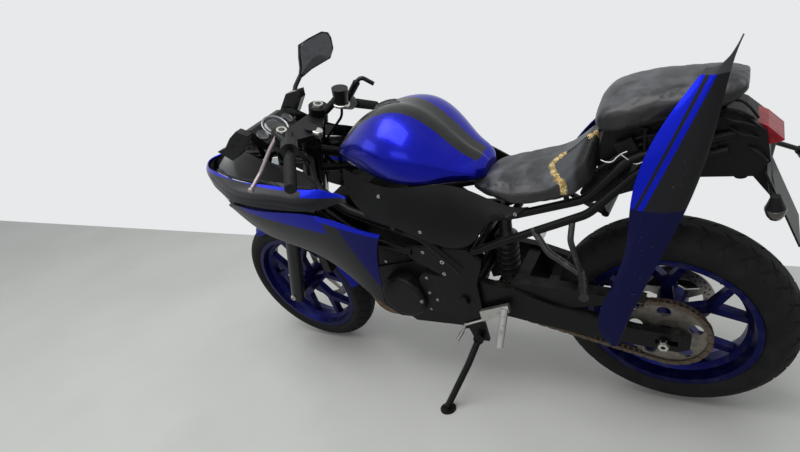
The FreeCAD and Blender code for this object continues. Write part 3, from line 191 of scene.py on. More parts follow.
# Gloss blue bodywork of injection-moulded plastic; orange peel shows in its reflections.
cowl_enamel = Finish("cowl_enamel", "#0a127c", 0.28, Metallic=0.8, Specular_IOR_Level=0.3, Coat_Weight=0.12)
cowl_enamel.grain(22, 0.05, 0.2)
cowl_enamel.dust(0.05)

# The side fairings: gloss graphite, with a blue facet above in front, navy behind, and a brighter blue along
# the top edge that is a painted highlight.
fairing_enamel = Finish("fairing_enamel", "#0d0d14", 0.26, Specular_IOR_Level=0.2, Coat_Weight=0.06)
fairing_enamel.grain(22, 0.05, 0.2)
fairing_enamel.tint("#0a1490", fairing_enamel.beyond((-0.186, 0, 0.982), 501, 6),
                    fairing_enamel.beyond((1, 0, 0), 940, 8), fairing_enamel.beyond((-1, 0, 0), -1300, 60),
                    rough=0.26, metal=0.8)
fairing_enamel.tint("#0c1058", fairing_enamel.beyond((-1, 0, 0.25), -690, 5), rough=0.26, metal=0.7)
# Painted highlight: a brighter blue strip along the top edge, where the overhead light catches it.
fairing_enamel.tint("#0a1cc0", fairing_enamel.beyond((-0.31, 0, 0.951), 403, 2),
                    fairing_enamel.beyond((-1, 0, 0), -960, 5), rough=0.24, metal=0.8)
fairing_enamel.dust(0.04)

# The band round the nose: gloss graphite under a blue top edge, which widens to a wedge beside the tank.
nose_enamel = Finish("nose_enamel", "#0d0d14", 0.24, Specular_IOR_Level=0.2, Coat_Weight=0.06)
nose_enamel.grain(22, 0.05, 0.2)
nose_enamel.tint("#0a18a8", nose_enamel.beyond((-0.05, 0, 0.9987), 779, 2), rough=0.24, metal=0.8)
nose_enamel.tint("#0b1fc4", nose_enamel.beyond((-0.05, 0, 0.9987), 764, 2),
                 nose_enamel.beyond((-1, 0, 0), -992, 2), rough=0.24, metal=0.8)
nose_enamel.dust(0.04)

# The loose tail cowl: blue strips in front, a black half behind, navy below,
# and bare grey plastic where the tip broke.
loose_enamel = Finish("loose_cowl_enamel", "#0b1cc0", 0.24, Metallic=0.8, Specular_IOR_Level=0.2,
                      Coat_Weight=0.08)
loose_enamel.grain(22, 0.05, 0.2)
loose_enamel.tint("#0b0b0f", loose_enamel.beyond((-0.881, 0, -0.472), -369, 2), rough=0.34, metal=0.0)
loose_enamel.tint("#05060c", loose_enamel.beyond((-0.881, 0, -0.472), -387, 2),
                  loose_enamel.beyond((0.881, 0, 0.472), 380, 2), rough=0.4, metal=0.0)
loose_enamel.tint("#0c0e3c", loose_enamel.beyond((0, 0, -1), -766, 6), rough=0.4, metal=0.75)
loose_enamel.tint("#3a3b3d", loose_enamel.beyond((0, 0, 1), 1038, 2), rough=0.5, metal=0.0)
# Scrapes from the fall, down to the grey plastic.
loose_enamel.tint("#7c7f8c", loose_enamel.patches(5, 0.66, 0.72, 0.7, 8), loose_enamel.patches(90, 0.5, 0.6),
                  rough=0.7, metal=0.0)

# Injection-moulded black plastic with a spark-eroded texture, worn smoother in places, a little dust on top.
moulded_black = Finish("moulded_black_plastic", "#0a0a0c", 0.44, Specular_IOR_Level=0.15)
moulded_black.grain(1.1, 0.06, 0.5)
moulded_black.tint("#1b1c1e", moulded_black.patches(90, 0.45, 0.7, 0.35), rough=0.38)
moulded_black.dust(0.08)

# Gloss black plastic inside the screen, smeared.
gloss_black = Finish("gloss_black_plastic", "#08080a", 0.16, Specular_IOR_Level=0.25)
gloss_black.grain(26, 0.08, 0.25, 2)
gloss_black.tint("#4b4946", gloss_black.patches(12, 0.6, 0.78, 0.3), rough=0.6)

# Enamel sprayed over welded tube, stone-chipped down to brown.
frame_enamel = Finish("frame_enamel", "#08080a", 0.38, Specular_IOR_Level=0.15)
frame_enamel.grain(3.0, 0.08, 0.4)
frame_enamel.tint("#4a4038", frame_enamel.patches(9, 0.64, 0.78, 0.45, 6), rough=0.8)
frame_enamel.dust(0.07)

# Sand-cast alloy cases painted black, oily in places.
engine_cast = Finish("engine_cast_paint", "#0b0b0d", 0.45, Specular_IOR_Level=0.15)
engine_cast.grain(1.6, 0.18, 0.7, 4)
engine_cast.tint("#2b2723", engine_cast.patches(22, 0.55, 0.72, 0.5), rough=0.75)
engine_cast.dust(0.06)

# Stainless header tubes, browned by heat; the silencer's sleeve is black.
header_steel = Finish("header_steel", "#6b5a48", 0.38, Metallic=0.9)
header_steel.tint("#3b332c", header_steel.patches(35, 0.4, 0.7), rough=0.6)
header_steel.tint("#161618", header_steel.beyond((-1, 0, 0), -420, 8), rough=0.4, metal=0.2)
header_steel.tint("#9a9a98", header_steel.near((150, -160, 300), 30, 90), amount=0.5, rough=0.4, metal=0.8)
header_steel.grain(2.0, 0.05, 0.5)

# Ground brake disc: bright, scratched round and round, stained by pads and rain.
ground_discs = []
for name, axle in (("front_disc_steel", FRONT_AXLE), ("rear_disc_steel", REAR_AXLE)):
    disc = Finish(name, "#a19e9a", 0.3, Metallic=1.0)
    flat = add(disc.tree, "ShaderNodeVectorMath", {0: disc.upright, 1: (1, 0, 1)},
               operation="MULTIPLY").outputs[0]
    radius = add(disc.tree, "ShaderNodeVectorMath", {0: flat, 1: axle / 1000},
                 operation="DISTANCE").outputs["Value"]
    rings = add(disc.tree, "ShaderNodeTexNoise", {"W": radius, "Scale": 900.0, "Detail": 2.0},
                noise_dimensions="1D")
    scratched = add(disc.tree, "ShaderNodeBump", {
        "Height": rings.outputs["Fac"], "Distance": 0.00005, "Strength": 0.5})
    disc.tree.links.new(scratched.outputs["Normal"], disc.shader.inputs["Normal"])
    disc.tint("#6a5847", disc.patches(40, 0.5, 0.75, 0.5), rough=0.5)
    ground_discs.append(disc)
front_disc_steel, rear_disc_steel = ground_discs

# Plain steel of chain and sprocket, oily, with rust in the joints.
chain_steel = Finish("chain_steel", "#5d544b", 0.42, Metallic=0.85)
chain_steel.tint("#4a2e1d", chain_steel.patches(7, 0.48, 0.66), rough=0.75, metal=0.3)
sprocket_steel = Finish("sprocket_steel", "#77726b", 0.4, Metallic=0.9)
sprocket_steel.tint("#3a332d", sprocket_steel.patches(24, 0.45, 0.7, 0.8), rough=0.7, metal=0.3)

# Bare cast aluminium of the pegs, dulled in patches.
cast_aluminium = Finish("cast_aluminium", "#b7b6b3", 0.36, Metallic=0.95)
cast_aluminium.grain(1.4, 0.05, 0.5)
cast_aluminium.tint("#0e0e10", cast_aluminium.beyond((0, 0, 1), 452, 4), rough=0.4, metal=0.0)
cast_aluminium.tint("#57544f", cast_aluminium.patches(16, 0.55, 0.72, 0.6), rough=0.65)

# The same alloy with a thin grey coat, on rings and rims.
clamp_alloy = Finish("clamp_alloy", "#8b8d90", 0.36, Metallic=0.8)
clamp_alloy.grain(1.5, 0.05, 0.4)
clamp_alloy.tint("#606163", clamp_alloy.patches(22, 0.5, 0.72, 0.5), rough=0.5)

# Vulcanised rubber: tyres are charcoal and dusty, grips and cable covers are blacker.
tyre_rubber = Finish("tyre_rubber", "#121213", 0.7, Specular_IOR_Level=0.15)
tyre_rubber.grain(1.2, 0.12, 0.5, 4)
tyre_rubber.tint("#272523", tyre_rubber.patches(45, 0.46, 0.72, 0.55, 6), rough=0.9)
grip_rubber = Finish("grip_rubber", "#0e0e0f", 0.6, Specular_IOR_Level=0.2)
grip_rubber.grain(1.0, 0.06, 0.5, 2)
grip_rubber.tint("#252422", grip_rubber.patches(20, 0.5, 0.7, 0.5), rough=0.8)

# Stretched leathercloth: fine pebble grain, a greyish shine where it is worn, drawn coarse enough to show.
seat_cloth = Finish("seat_leathercloth", "#171719", 0.42, Specular_IOR_Level=0.4)
seat_cloth.pebbles(2.4, 0.25, 0.45)
seat_cloth.tint("#323234", seat_cloth.patches(70, 0.42, 0.68, 0.6), rough=0.36)
# The thick light grey laid on what faces up is partly dust and partly a painted sheen: the seats' tops are
# lighter than their flanks.
seat_cloth.dust(0.4, "#7b7c82")
torn_backing = Finish("torn_cover_backing", "#34373a", 0.8)
torn_backing.pebbles(1.6, 0.2, 0.6)
torn_backing.tint("#0b0b0c", torn_backing.beyond((-1, 0, 0), -166, 14), rough=0.9)

# Polyurethane foam, aged to mustard and brown, with open pores.
seat_foam = Finish("seat_foam", "#d8c28a", 0.95)
seat_foam.pebbles(3.2, 1.2, 0.9)
seat_foam.tint("#8a6a2c", seat_foam.patches(14, 0.42, 0.6, 0.85, 6))
seat_foam.tint("#2a1d0e", seat_foam.spots(4.5, 0.2, 0.45, 0.85))

# Moulded lamp lenses: clear over the headlamps, red at the tail, smoked on the indicators.
lamp_clear = Finish("clear_polycarbonate", "#cdd4d8", 0.05, IOR=1.58, Transmission_Weight=0.75)
lamp_clear.grain(9, 0.1, 0.2, 1)
lamp_red = Finish("red_acrylic", "#8c0a1c", 0.2, Specular_IOR_Level=0.2)
lamp_red.pebbles(5.0, 0.5, 0.6)
lamp_red.tint("#2a0406", lamp_red.patches(30, 0.5, 0.7, 0.6))
smoked_lens = Finish("smoked_acrylic", "#2a2724", 0.12, Coat_Weight=0.5)
smoked_lens.pebbles(4.0, 0.4, 0.5)

# Silvered glass, smeared; glass over the dial.
mirror_glass = Finish("mirror_glass", "#505154", 0.12, Metallic=1.0)
mirror_glass.tint("#3e3e3e", mirror_glass.patches(18, 0.5, 0.72, 0.45, 6), rough=0.5)
dial_glass = Finish("dial_glass", "#0d1113", 0.08, Coat_Weight=0.8)
dial_glass.tint("#5f6360", dial_glass.patches(30, 0.5, 0.72, 0.35), rough=0.5)

# Zinc-plated and blackened fasteners.
zinc_plate = Finish("zinc_plate", "#c8c7c2", 0.34, Metallic=1.0)
zinc_plate.tint("#6d665c", zinc_plate.patches(3, 0.55, 0.7, 0.5), rough=0.6)
black_oxide = Finish("black_oxide", "#222224", 0.38, Metallic=0.8)
black_oxide.grain(1.0, 0.03, 0.4, 2)
black_oxide.tint("#55504a", black_oxide.patches(3, 0.6, 0.75, 0.5), rough=0.6)

# Drill holes of the discs as painted shade: matt black where the holes look dark.
hole_shade = Finish("drill_hole_shadow", "#080808", 0.9)
hole_shade.grain(0.8, 0.05, 0.3)

# Shock absorber: a dark sprayed spring with brown stains.
spring_enamel = Finish("spring_enamel", "#151517", 0.4, Specular_IOR_Level=0.3)
spring_enamel.tint("#453a30", spring_enamel.patches(9, 0.55, 0.72, 0.5), rough=0.8)

# Fork: black sliders below, ground steel tubes above.
fork_finish = Finish("fork_slider_enamel", "#0d0e10", 0.32, Specular_IOR_Level=0.3)
fork_finish.tint("#8f9193", fork_finish.beyond((0, 0, 1), 640, 2), rough=0.16, metal=1.0)
fork_finish.grain(4.0, 0.03, 0.3)

# Switch housings are black plastic, the clutch lever is scuffed alloy, the brake cup has a bright ring.
lever_finish = Finish("lever_and_switch_mouldings", "#0f0f11", 0.42, Specular_IOR_Level=0.25)
lever_finish.grain(1.2, 0.05, 0.5)
lever_finish.tint("#8f8486", lever_finish.beyond((1, 0, 0), 1006, 1), lever_finish.beyond((0, 1, 0), 150, 1),
                  rough=0.34, metal=0.7)

CAD_FINISHES = {
    tank_enamel: ["fuel_tank"],
    cowl_enamel: ["tail_cowl_right", "front_fender"],
    fairing_enamel: ["fairing_left", "fairing_right"],
    nose_enamel: ["nose_cowl"],
    loose_enamel: ["tail_cowl_left"],
    moulded_black: ["side_cover_left", "side_cover_right", "instrument_panel", "chain_guard", "plate_holder",
                    "undertray", "mirror_right", "mirror_bracket"],
    gloss_black: ["inner_cowl"],
    lamp_clear: ["headlamps"],
    lamp_red: ["tail_lamp"],
    frame_enamel: ["main_frame", "front_stay", "swingarm", "side_stand", "handlebars"],
    fork_finish: ["fork"],
    lever_finish: ["levers", "fork_clamps"],
    spring_enamel: ["shock_absorber"],
    engine_cast: ["engine", "radiator", "rear_caliper", "front_caliper"],
    header_steel: ["exhaust"],
    cast_aluminium: ["steps_left", "steps_right"],
    front_disc_steel: ["front_disc"],
    rear_disc_steel: ["rear_disc"],
    sprocket_steel: ["rear_sprocket"],
    chain_steel: ["drive_chain"],
    wheel_enamel: ["front_rim", "rear_rim"],
    tyre_rubber: ["front_tyre", "rear_tyre"],
    grip_rubber: ["grips", "cables"],
    seat_cloth: ["rider_seat", "pillion_seat"],
}
for finish, names in CAD_FINISHES.items():
    for name in names:
        nodes[name].data.materials.clear()
        nodes[name].data.materials.append(finish.material)


# The camera stands behind the machine's left shoulder, a little above it, as the photograph's did.
camera = bpy.data.objects.new("camera", bpy.data.cameras.new("camera"))
camera.data.sensor_width = 36.0
camera.data.lens = 24.08
camera.data.shift_x = -0.0458
camera.data.shift_y = -0.0107
camera.location = (-0.8869, 1.2786, 1.1980)
camera.rotation_euler = [math.radians(a) for a in (69.259, 10.809, -150.489)]
scene.collection.objects.link(camera)
scene.camera = camera


def lamp(name, place, aim, size, watts):
    light = bpy.data.lights.new(name, "AREA")
    light.shape = "RECTANGLE"
    light.size, light.size_y = size
    light.energy = watts
    holder = bpy.data.objects.new(name, light)
    holder.location = place
    holder.rotation_euler = (Vector(aim) - Vector(place)).to_track_quat("-Z", "Y").to_euler()
    scene.collection.objects.link(holder)


lamp("ceiling", (0.2, 0.9, 3.4), (0, 0, 0.2), (3.4, 1.6), 84)
lamp("left_fill", (-0.9, 4.0, 2.2), (0, 0, 0.6), (3.0, 1.6), 26)
lamp("front_fill", (3.6, 2.0, 2.4), (0, 0, 0.6), (2.0, 1.6), 20)

# The pale wall behind is what the camera and glossy surfaces see; the rest of the sky lights a little less.
world = bpy.data.worlds.new("studio")
scene.world = world
world.use_nodes = True
sky = world.node_tree
paths = add(sky, "ShaderNodeLightPath").outputs
seen = add(sky, "ShaderNodeMath", {0: paths["Is Camera Ray"], 1: paths["Is Transmission Ray"]},
           operation="MAXIMUM")
shown = add(sky, "ShaderNodeMath", {0: seen.outputs[0], 1: paths["Is Glossy Ray"]}, operation="MAXIMUM")
wall = add(sky, "ShaderNodeBackground", {"Color": linear("#e7e9ea"), "Strength": 1.0})
studio = sky.nodes["Background"]
studio.inputs["Color"].default_value = linear("#f2f4f6")
studio.inputs["Strength"].default_value = 0.55
mixed = add(sky, "ShaderNodeMixShader", {0: shown.outputs[0], 1: studio.outputs[0], 2: wall.outputs[0]})
sky.links.new(mixed.outputs[0], sky.nodes["World Output"].inputs["Surface"])


def mesh_piece(name, points, faces, *finishes, smooth=True):
    """A new piece in metres at the origin, with its finishes."""
    mesh = bpy.data.meshes.new(name)
    mesh.from_pydata([tuple(p) for p in points], [], faces)
    for finish in finishes:
        mesh.materials.append(finish.material)
    if smooth:
        mesh.shade_smooth()
    piece = bpy.data.objects.new(name, mesh)
    scene.collection.objects.link(piece)
    return piece


def outward(mesh):
    """Merges doubled points and turns the faces of a closed mesh outwards."""
    shell = bmesh.new()
    shell.from_mesh(mesh)
    bmesh.ops.remove_doubles(shell, verts=shell.verts, dist=1e-6)
    bmesh.ops.recalc_face_normals(shell, faces=shell.faces)
    shell.to_mesh(mesh)
    shell.free()


def through(points, steps, closed=False):
    """A smooth line through points, with so many steps between each two."""
    count = len(points)
    line = []
    for i in range(count if closed else count - 1):
        if closed:
            a, b, c, d = (points[(i + k) % count] for k in (-1, 0, 1, 2))
        else:
            b, c = points[i], points[i + 1]
            a = points[i - 1] if i else b
            d = points[i + 2] if i + 2 < count else c
        for n in range(steps):
            t = n / steps
            line.append(0.5 * (2 * b + (c - a) * t + (2 * a - 5 * b + 4 * c - d) * t ** 2
                               + (3 * b - a - 3 * c + d) * t ** 3))
    return line if closed else line + [points[-1]]


def ringed(rings, closed_ends=True):
    """Points and faces of a skin over rings of equally many points."""
    count = len(rings[0])
    points = [p for ring in rings for p in ring]
    faces = []
    for r in range(len(rings) - 1):
        for i in range(count):
            a, b = r * count + i, r * count + (i + 1) % count
            faces.append((a, b, b + count, a + count))
    if closed_ends:
        faces.append(tuple(range(count)))
        faces.append(tuple(range(len(points) - count, len(points))))
    return points, faces


def turned(profiles, centre, axis, count):
    """Points and faces of shapes turned about an axis; profiles are (radius, height) in mm."""
    along = Vector(axis).normalized()
    first = along.orthogonal().normalized()
    second = along.cross(first)
    points = []
    faces = []
    for profile in profiles:
        rings = []
        for radius, height in profile:
            ring = []
            for n in range(count):
                turn = math.tau * n / count
                out = first * math.cos(turn) + second * math.sin(turn)
                ring.append(spot(*(Vector(centre) + along * height + out * radius)))
            rings.append(ring)
        new_points, new_faces = ringed(rings)
        faces += [tuple(i + len(points) for i in face) for face in new_faces]
        points += new_points
    return points, faces


def grown(name, tree, inputs, finish, points=(), ways=(), sizes=()):
    """The plain mesh that a Geometry Nodes tree makes, on points with a way to face and a size each."""
    seeds = bpy.data.meshes.new(name + "_seeds")
    seeds.from_pydata([tuple(p) for p in points], [], [])
    if points:
        facing = seeds.attributes.new("way", "FLOAT_VECTOR", "POINT")
        facing.data.foreach_set("vector", [value for w in ways for value in w])
        scale = seeds.attributes.new("size", "FLOAT", "POINT")
        scale.data.foreach_set("value", sizes)
    source = bpy.data.objects.new(name + "_source", seeds)
    scene.collection.objects.link(source)
    modifier = source.modifiers.new("grown", "NODES")
    modifier.node_group = tree
    for item in tree.interface.items_tree:
        if item.in_out == "INPUT" and item.name in inputs:
            modifier[item.identifier] = inputs[item.name]
    evaluated = source.evaluated_get(bpy.context.evaluated_depsgraph_get())
    mesh = bpy.data.meshes.new_from_object(evaluated)
    mesh.materials.clear()
    mesh.materials.append(finish.material)
    source.modifiers.remove(modifier)
    bpy.data.objects.remove(source)
    piece = bpy.data.objects.new(name, mesh)
    scene.collection.objects.link(piece)
    return piece


def new_tree(name, *inputs):
    """A Geometry Nodes tree with its geometry and its named inputs."""
    tree = bpy.data.node_groups.new(name, "GeometryNodeTree")
    tree.interface.new_socket("Geometry", in_out="INPUT", socket_type="NodeSocketGeometry")
    for label, kind in inputs:
        tree.interface.new_socket(label, in_out="INPUT", socket_type=kind)
    tree.interface.new_socket("Geometry", in_out="OUTPUT", socket_type="NodeSocketGeometry")
    return tree, add(tree, "NodeGroupInput").outputs


def finish_tree(tree, geometry):
    """Ends a tree in its real mesh and its material."""
    given = next(node for node in tree.nodes if node.bl_idname == "NodeGroupInput").outputs
    real = add(tree, "GeometryNodeRealizeInstances", {"Geometry": geometry}).outputs[0]
    painted = add(tree, "GeometryNodeSetMaterial", {"Geometry": real, "Material": given["Finish"]}).outputs[0]
    add(tree, "NodeGroupOutput", {"Geometry": painted})


LENGTH = "NodeSocketFloat"

# A screw head with a chamfer and a socket, on every point, turned the point's way.
screw_tree, given = new_tree("socket_screws", ("Head radius", LENGTH), ("Head height", LENGTH),
                             ("Socket share", LENGTH), ("Sides", "NodeSocketInt"),
                             ("Finish", "NodeSocketMaterial"))
head = add(screw_tree, "GeometryNodeMeshCylinder", {
    "Vertices": given["Sides"], "Radius": given["Head radius"], "Depth": given["Head height"]}).outputs
chamfered = add(screw_tree, "GeometryNodeScaleElements", {
    "Geometry": head["Mesh"], "Selection": head["Top"], "Scale": 0.86})
rim = add(screw_tree, "GeometryNodeExtrudeMesh", {
    "Mesh": chamfered.outputs[0], "Selection": head["Top"], "Offset Scale": 0.0001}).outputs
mouth = add(screw_tree, "GeometryNodeScaleElements", {
    "Geometry": rim["Mesh"], "Selection": rim["Top"], "Scale": given["Socket share"]})
depth = add(screw_tree, "ShaderNodeMath", {0: given["Head height"], 1: -0.6}, operation="MULTIPLY").outputs[0]
socket_cut = add(screw_tree, "GeometryNodeExtrudeMesh", {
    "Mesh": mouth.outputs[0], "Selection": rim["Top"], "Offset Scale": depth}).outputs
faced = add(screw_tree, "GeometryNodeInputNamedAttribute", {"Name": "way"},
            data_type="FLOAT_VECTOR").outputs[0]
sized = add(screw_tree, "GeometryNodeInputNamedAttribute", {"Name": "size"}, data_type="FLOAT").outputs[0]
turn = add(screw_tree, "FunctionNodeAlignRotationToVector", {"Vector": faced}, axis="Z").outputs[0]
placed = add(screw_tree, "GeometryNodeInstanceOnPoints", {
    "Points": given["Geometry"], "Instance": socket_cut["Mesh"], "Rotation": turn, "Scale": sized}).outputs[0]
finish_tree(screw_tree, placed)


def screws(name, body, places, finish, radius=6.0, height=5.0, socket=0.55, sides=20):
    """Screws at (point, way, size) of the machine, riding on a body."""
    piece = grown(name, screw_tree, {
        "Head radius": radius / 1000, "Head height": height / 1000, "Socket share": socket, "Sides": sides,
        "Finish": finish.material}, finish,
        [spot(*p) for p, w, s in places], [way(*w) for p, w, s in places], [s for p, w, s in places])
    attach(piece, body)


LEFT = (0, 1, 0)
RIGHT = (0, -1, 0)
cover_places = [((x, side * y, z), facing, 1.0) for side, facing in ((1, LEFT), (-1, RIGHT))
                for x, y, z in ((711, 170, 805), (615, 168, 684), (335, 118, 717))]
screws("cover_screws", "frame_body", cover_places, zinc_plate, 5.5, 5.0)
engine_places = [((721, 151, 389), LEFT, 1.0), ((692, 132, 414), LEFT, 0.9), ((734, 104, 312), LEFT, 0.8),
                 ((671, 132, 387), LEFT, 0.9), ((598, 137, 553), LEFT, 1.3), ((682, 132, 478), LEFT, 0.9),
                 ((606, 137, 506), LEFT, 1.1), ((851, 98, 503), LEFT, 0.9), ((656, 137, 586), LEFT, 1.0)]
screws("engine_bolts", "frame_body", engine_places, zinc_plate, 6.0, 8.0, 0.6)
screws("axle_nuts_rear", "frame_body", [((0, 134, 314), LEFT, 1.0), ((0, -134, 314), RIGHT, 1.0)],
       zinc_plate, 16.0, 14.0, 0.5, 6)
screws("axle_nuts_front", "steering", [((1380, 127, 293), LEFT, 1.0), ((1380, -127, 293), RIGHT, 1.0)],
       zinc_plate, 12.0, 6.0, 0.6, 6)
leg_tops = [((1055, side * 95, 990), STEER_UP, 1.0) for side in (1, -1)]
screws("fork_caps", "steering", leg_tops, zinc_plate, 19.0, 24.0, 0.6, 24)
screws("stem_nut", "steering", [((1033, 0, 948), STEER_UP, 1.0)], zinc_plate, 17.0, 16.0, 0.7, 6)

# Rows of holes drilled through the discs, drawn as thin matt black discs of painted shade on their faces.
for name, body, axle, face, rows, count in (
        ("front_disc_hole_shade", "front_wheel", FRONT_AXLE, (-57, -52), (124, 133, 142), 30),
        ("rear_disc_hole_shade", "rear_wheel", REAR_AXLE, (-69, -64), (86, 94, 102), 24)):
    places = []
    for row, radius in enumerate(rows):
        for n in range(count):
            angle = math.tau * (n + row / 3) / count
            hole = axle + Vector((radius * math.cos(angle), 0, radius * math.sin(angle)))
            places.append(((hole.x, face[0], hole.z), RIGHT, 1.0))
            places.append(((hole.x, face[1], hole.z), LEFT, 1.0))
    screws(name, body, places, hole_shade, 3.2, 0.3, 0.5, 12)


# Drive chain: link plates and rollers, set along the line round both sprockets.
PITCH_MM = 15.875
BIG_R = PITCH_MM / (2 * math.sin(math.pi / 43))
SMALL_R = PITCH_MM / (2 * math.sin(math.pi / 14))
PINION = Vector((644.5, 0, 404))
CHAIN_Y = 84.0

link_tree, given = new_tree("chain_links", ("Pitch", LENGTH), ("Plate height", LENGTH),
                            ("Plate thickness", LENGTH), ("Inside width", LENGTH), ("Roller radius", LENGTH),
                            ("Finish", "NodeSocketMaterial"))
half_pitch = add(link_tree, "ShaderNodeMath", {0: given["Pitch"], 1: 0.5}, operation="MULTIPLY").outputs[0]
plate_r = add(link_tree, "ShaderNodeMath", {0: given["Plate height"], 1: 0.5},
              operation="MULTIPLY").outputs[0]
across = (math.pi / 2, 0, 0)
end = add(link_tree, "GeometryNodeMeshCylinder", {
    "Vertices": 12, "Radius": plate_r, "Depth": given["Plate thickness"]}).outputs[0]
ahead = add(link_tree, "ShaderNodeCombineXYZ", {0: half_pitch}).outputs[0]
back = add(link_tree, "ShaderNodeVectorMath", {0: ahead, "Scale": -1.0}, operation="SCALE").outputs[0]
ends = add(link_tree, "GeometryNodeJoinGeometry").inputs[0]
for place in (ahead, back):
    moved = {"Geometry": end, "Translation": place, "Rotation": across}
    link_tree.links.new(add(link_tree, "GeometryNodeTransform", moved).outputs[0], ends)
side_plate = add(link_tree, "GeometryNodeConvexHull", {"Geometry": ends.node.outputs[0]}).outputs[0]
roller = add(link_tree, "GeometryNodeMeshCylinder", {
    "Vertices": 10, "Radius": given["Roller radius"], "Depth": given["Inside width"]}).outputs[0]
roller_ahead = add(link_tree, "GeometryNodeTransform", {
    "Geometry": roller, "Translation": ahead, "Rotation": across}).outputs[0]
# Every second link is an outer one, whose plates stand one thickness further out.
index = add(link_tree, "GeometryNodeInputIndex").outputs[0]
odd = add(link_tree, "ShaderNodeMath", {0: index, 1: 2.0}, operation="MODULO").outputs[0]
tangent = add(link_tree, "GeometryNodeInputNamedAttribute", {"Name": "way"},
              data_type="FLOAT_VECTOR").outputs[0]
aimed = add(link_tree, "FunctionNodeAlignRotationToVector", {"Vector": tangent}, axis="X").outputs[0]
level = add(link_tree, "FunctionNodeAlignRotationToVector", {"Rotation": aimed, "Vector": way(0, 1, 0)},
            axis="Y", pivot_axis="X").outputs[0]
joined = add(link_tree, "GeometryNodeJoinGeometry").inputs[0]
for sign in (1, -1):
    base = add(link_tree, "ShaderNodeMath", {0: given["Inside width"], 1: 0.5 * sign},
               operation="MULTIPLY").outputs[0]
    shift = add(link_tree, "ShaderNodeMath", {0: given["Plate thickness"], 1: sign * 0.6},
                operation="MULTIPLY").outputs[0]
    near_side = add(link_tree, "ShaderNodeMath", {0: base, 1: shift}, operation="ADD").outputs[0]
    further = add(link_tree, "ShaderNodeMath", {0: given["Plate thickness"], 1: sign * 1.0},
                  operation="MULTIPLY").outputs[0]
    extra = add(link_tree, "ShaderNodeMath", {0: odd, 1: further}, operation="MULTIPLY").outputs[0]
    out = add(link_tree, "ShaderNodeMath", {0: near_side, 1: extra}, operation="ADD").outputs[0]
    step_out = add(link_tree, "ShaderNodeCombineXYZ", {1: out}).outputs[0]
    turned_out = add(link_tree, "FunctionNodeRotateVector", {
        "Vector": step_out, "Rotation": level}).outputs[0]
    moved = add(link_tree, "GeometryNodeSetPosition", {
        "Geometry": given["Geometry"], "Offset": turned_out}).outputs[0]
    plates = add(link_tree, "GeometryNodeInstanceOnPoints", {
        "Points": moved, "Instance": side_plate, "Rotation": level}).outputs[0]
    link_tree.links.new(plates, joined)
rollers = add(link_tree, "GeometryNodeInstanceOnPoints", {
    "Points": given["Geometry"], "Instance": roller_ahead, "Rotation": level}).outputs[0]
link_tree.links.new(rollers, joined)
finish_tree(link_tree, joined.node.outputs[0])


def chain_line(distance, total, run_length, small_arc, tilt, spread):
    """A point of the chain's pitch line, and its direction there."""
    distance %= total
    if distance < run_length or small_arc + run_length <= distance < small_arc + 2 * run_length:
        upper = distance < run_length
        turn = tilt + spread if upper else tilt - spread
        base = Vector((math.cos(turn), 0, math.sin(turn)))
        along = Vector((math.sin(turn), 0, -math.cos(turn)))
        if upper:
            return REAR_AXLE + base * BIG_R + along * distance, along
        return PINION + base * SMALL_R + along * (distance - run_length - small_arc), along
    if distance < run_length + small_arc:
        turn = tilt + spread - (distance - run_length) / SMALL_R
        centre, radius = PINION, SMALL_R
    else:
        turn = tilt - spread - (distance - 2 * run_length - small_arc) / BIG_R
        centre, radius = REAR_AXLE, BIG_R
    base = Vector((math.cos(turn), 0, math.sin(turn)))
    return centre + base * radius, Vector((math.sin(turn), 0, -math.cos(turn)))


def drive_chain():
    run = PINION - REAR_AXLE
    tilt = math.atan2(run.z, run.x)
    spread = math.acos((BIG_R - SMALL_R) / run.length)
    run_length = math.sqrt(run.length ** 2 - (BIG_R - SMALL_R) ** 2)
    small_arc = SMALL_R * 2 * spread
    total = 2 * run_length + small_arc + BIG_R * (math.tau - 2 * spread)
    links = 2 * round(total / PITCH_MM / 2)
    shape = (total, run_length, small_arc, tilt, spread)
    points = []
    ways = []
    for n in range(links):
        here, along = chain_line((n + 0.5) * total / links, *shape)
        points.append(spot(here.x, CHAIN_Y, here.z))
        ways.append(way(*along))
    piece = grown("chain_links", link_tree, {
        "Pitch": total / links / 1000, "Plate height": 0.0136, "Plate thickness": 0.0019,
        "Inside width": 0.0092, "Roller radius": 0.0050, "Finish": chain_steel.material},
        chain_steel, points, ways, [1.0] * links)
    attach(piece, "frame_body")
    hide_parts("drive_chain")


drive_chain()

# A ribbed rubber grip, its radius a wave along the bar.
grip_tree, given = new_tree("ribbed_grip", ("Start", "NodeSocketVector"), ("End", "NodeSocketVector"),
                            ("Radius", LENGTH), ("Rib height", LENGTH), ("Ribs", LENGTH),
                            ("Finish", "NodeSocketMaterial"))
bar = add(grip_tree, "GeometryNodeCurvePrimitiveLine", {
    "Start": given["Start"], "End": given["End"]}).outputs[0]
fine = add(grip_tree, "GeometryNodeResampleCurve", {"Curve": bar, "Count": 170}).outputs[0]
share = add(grip_tree, "GeometryNodeSplineParameter").outputs["Factor"]
turns = add(grip_tree, "ShaderNodeMath", {0: share, 1: given["Ribs"]}, operation="MULTIPLY").outputs[0]
angle = add(grip_tree, "ShaderNodeMath", {0: turns, 1: math.tau}, operation="MULTIPLY").outputs[0]
wave = add(grip_tree, "ShaderNodeMath", {0: angle}, operation="COSINE").outputs[0]
rib = add(grip_tree, "ShaderNodeMath", {0: wave, 1: given["Rib height"]}, operation="MULTIPLY").outputs[0]
thick = add(grip_tree, "ShaderNodeMath", {0: given["Radius"], 1: rib}, operation="SUBTRACT").outputs[0]
ring = add(grip_tree, "GeometryNodeCurvePrimitiveCircle", {"Resolution": 28, "Radius": 1.0}).outputs[0]
sleeve = add(grip_tree, "GeometryNodeCurveToMesh", {
    "Curve": fine, "Profile Curve": ring, "Scale": thick, "Fill Caps": True}).outputs[0]
finish_tree(grip_tree, sleeve)

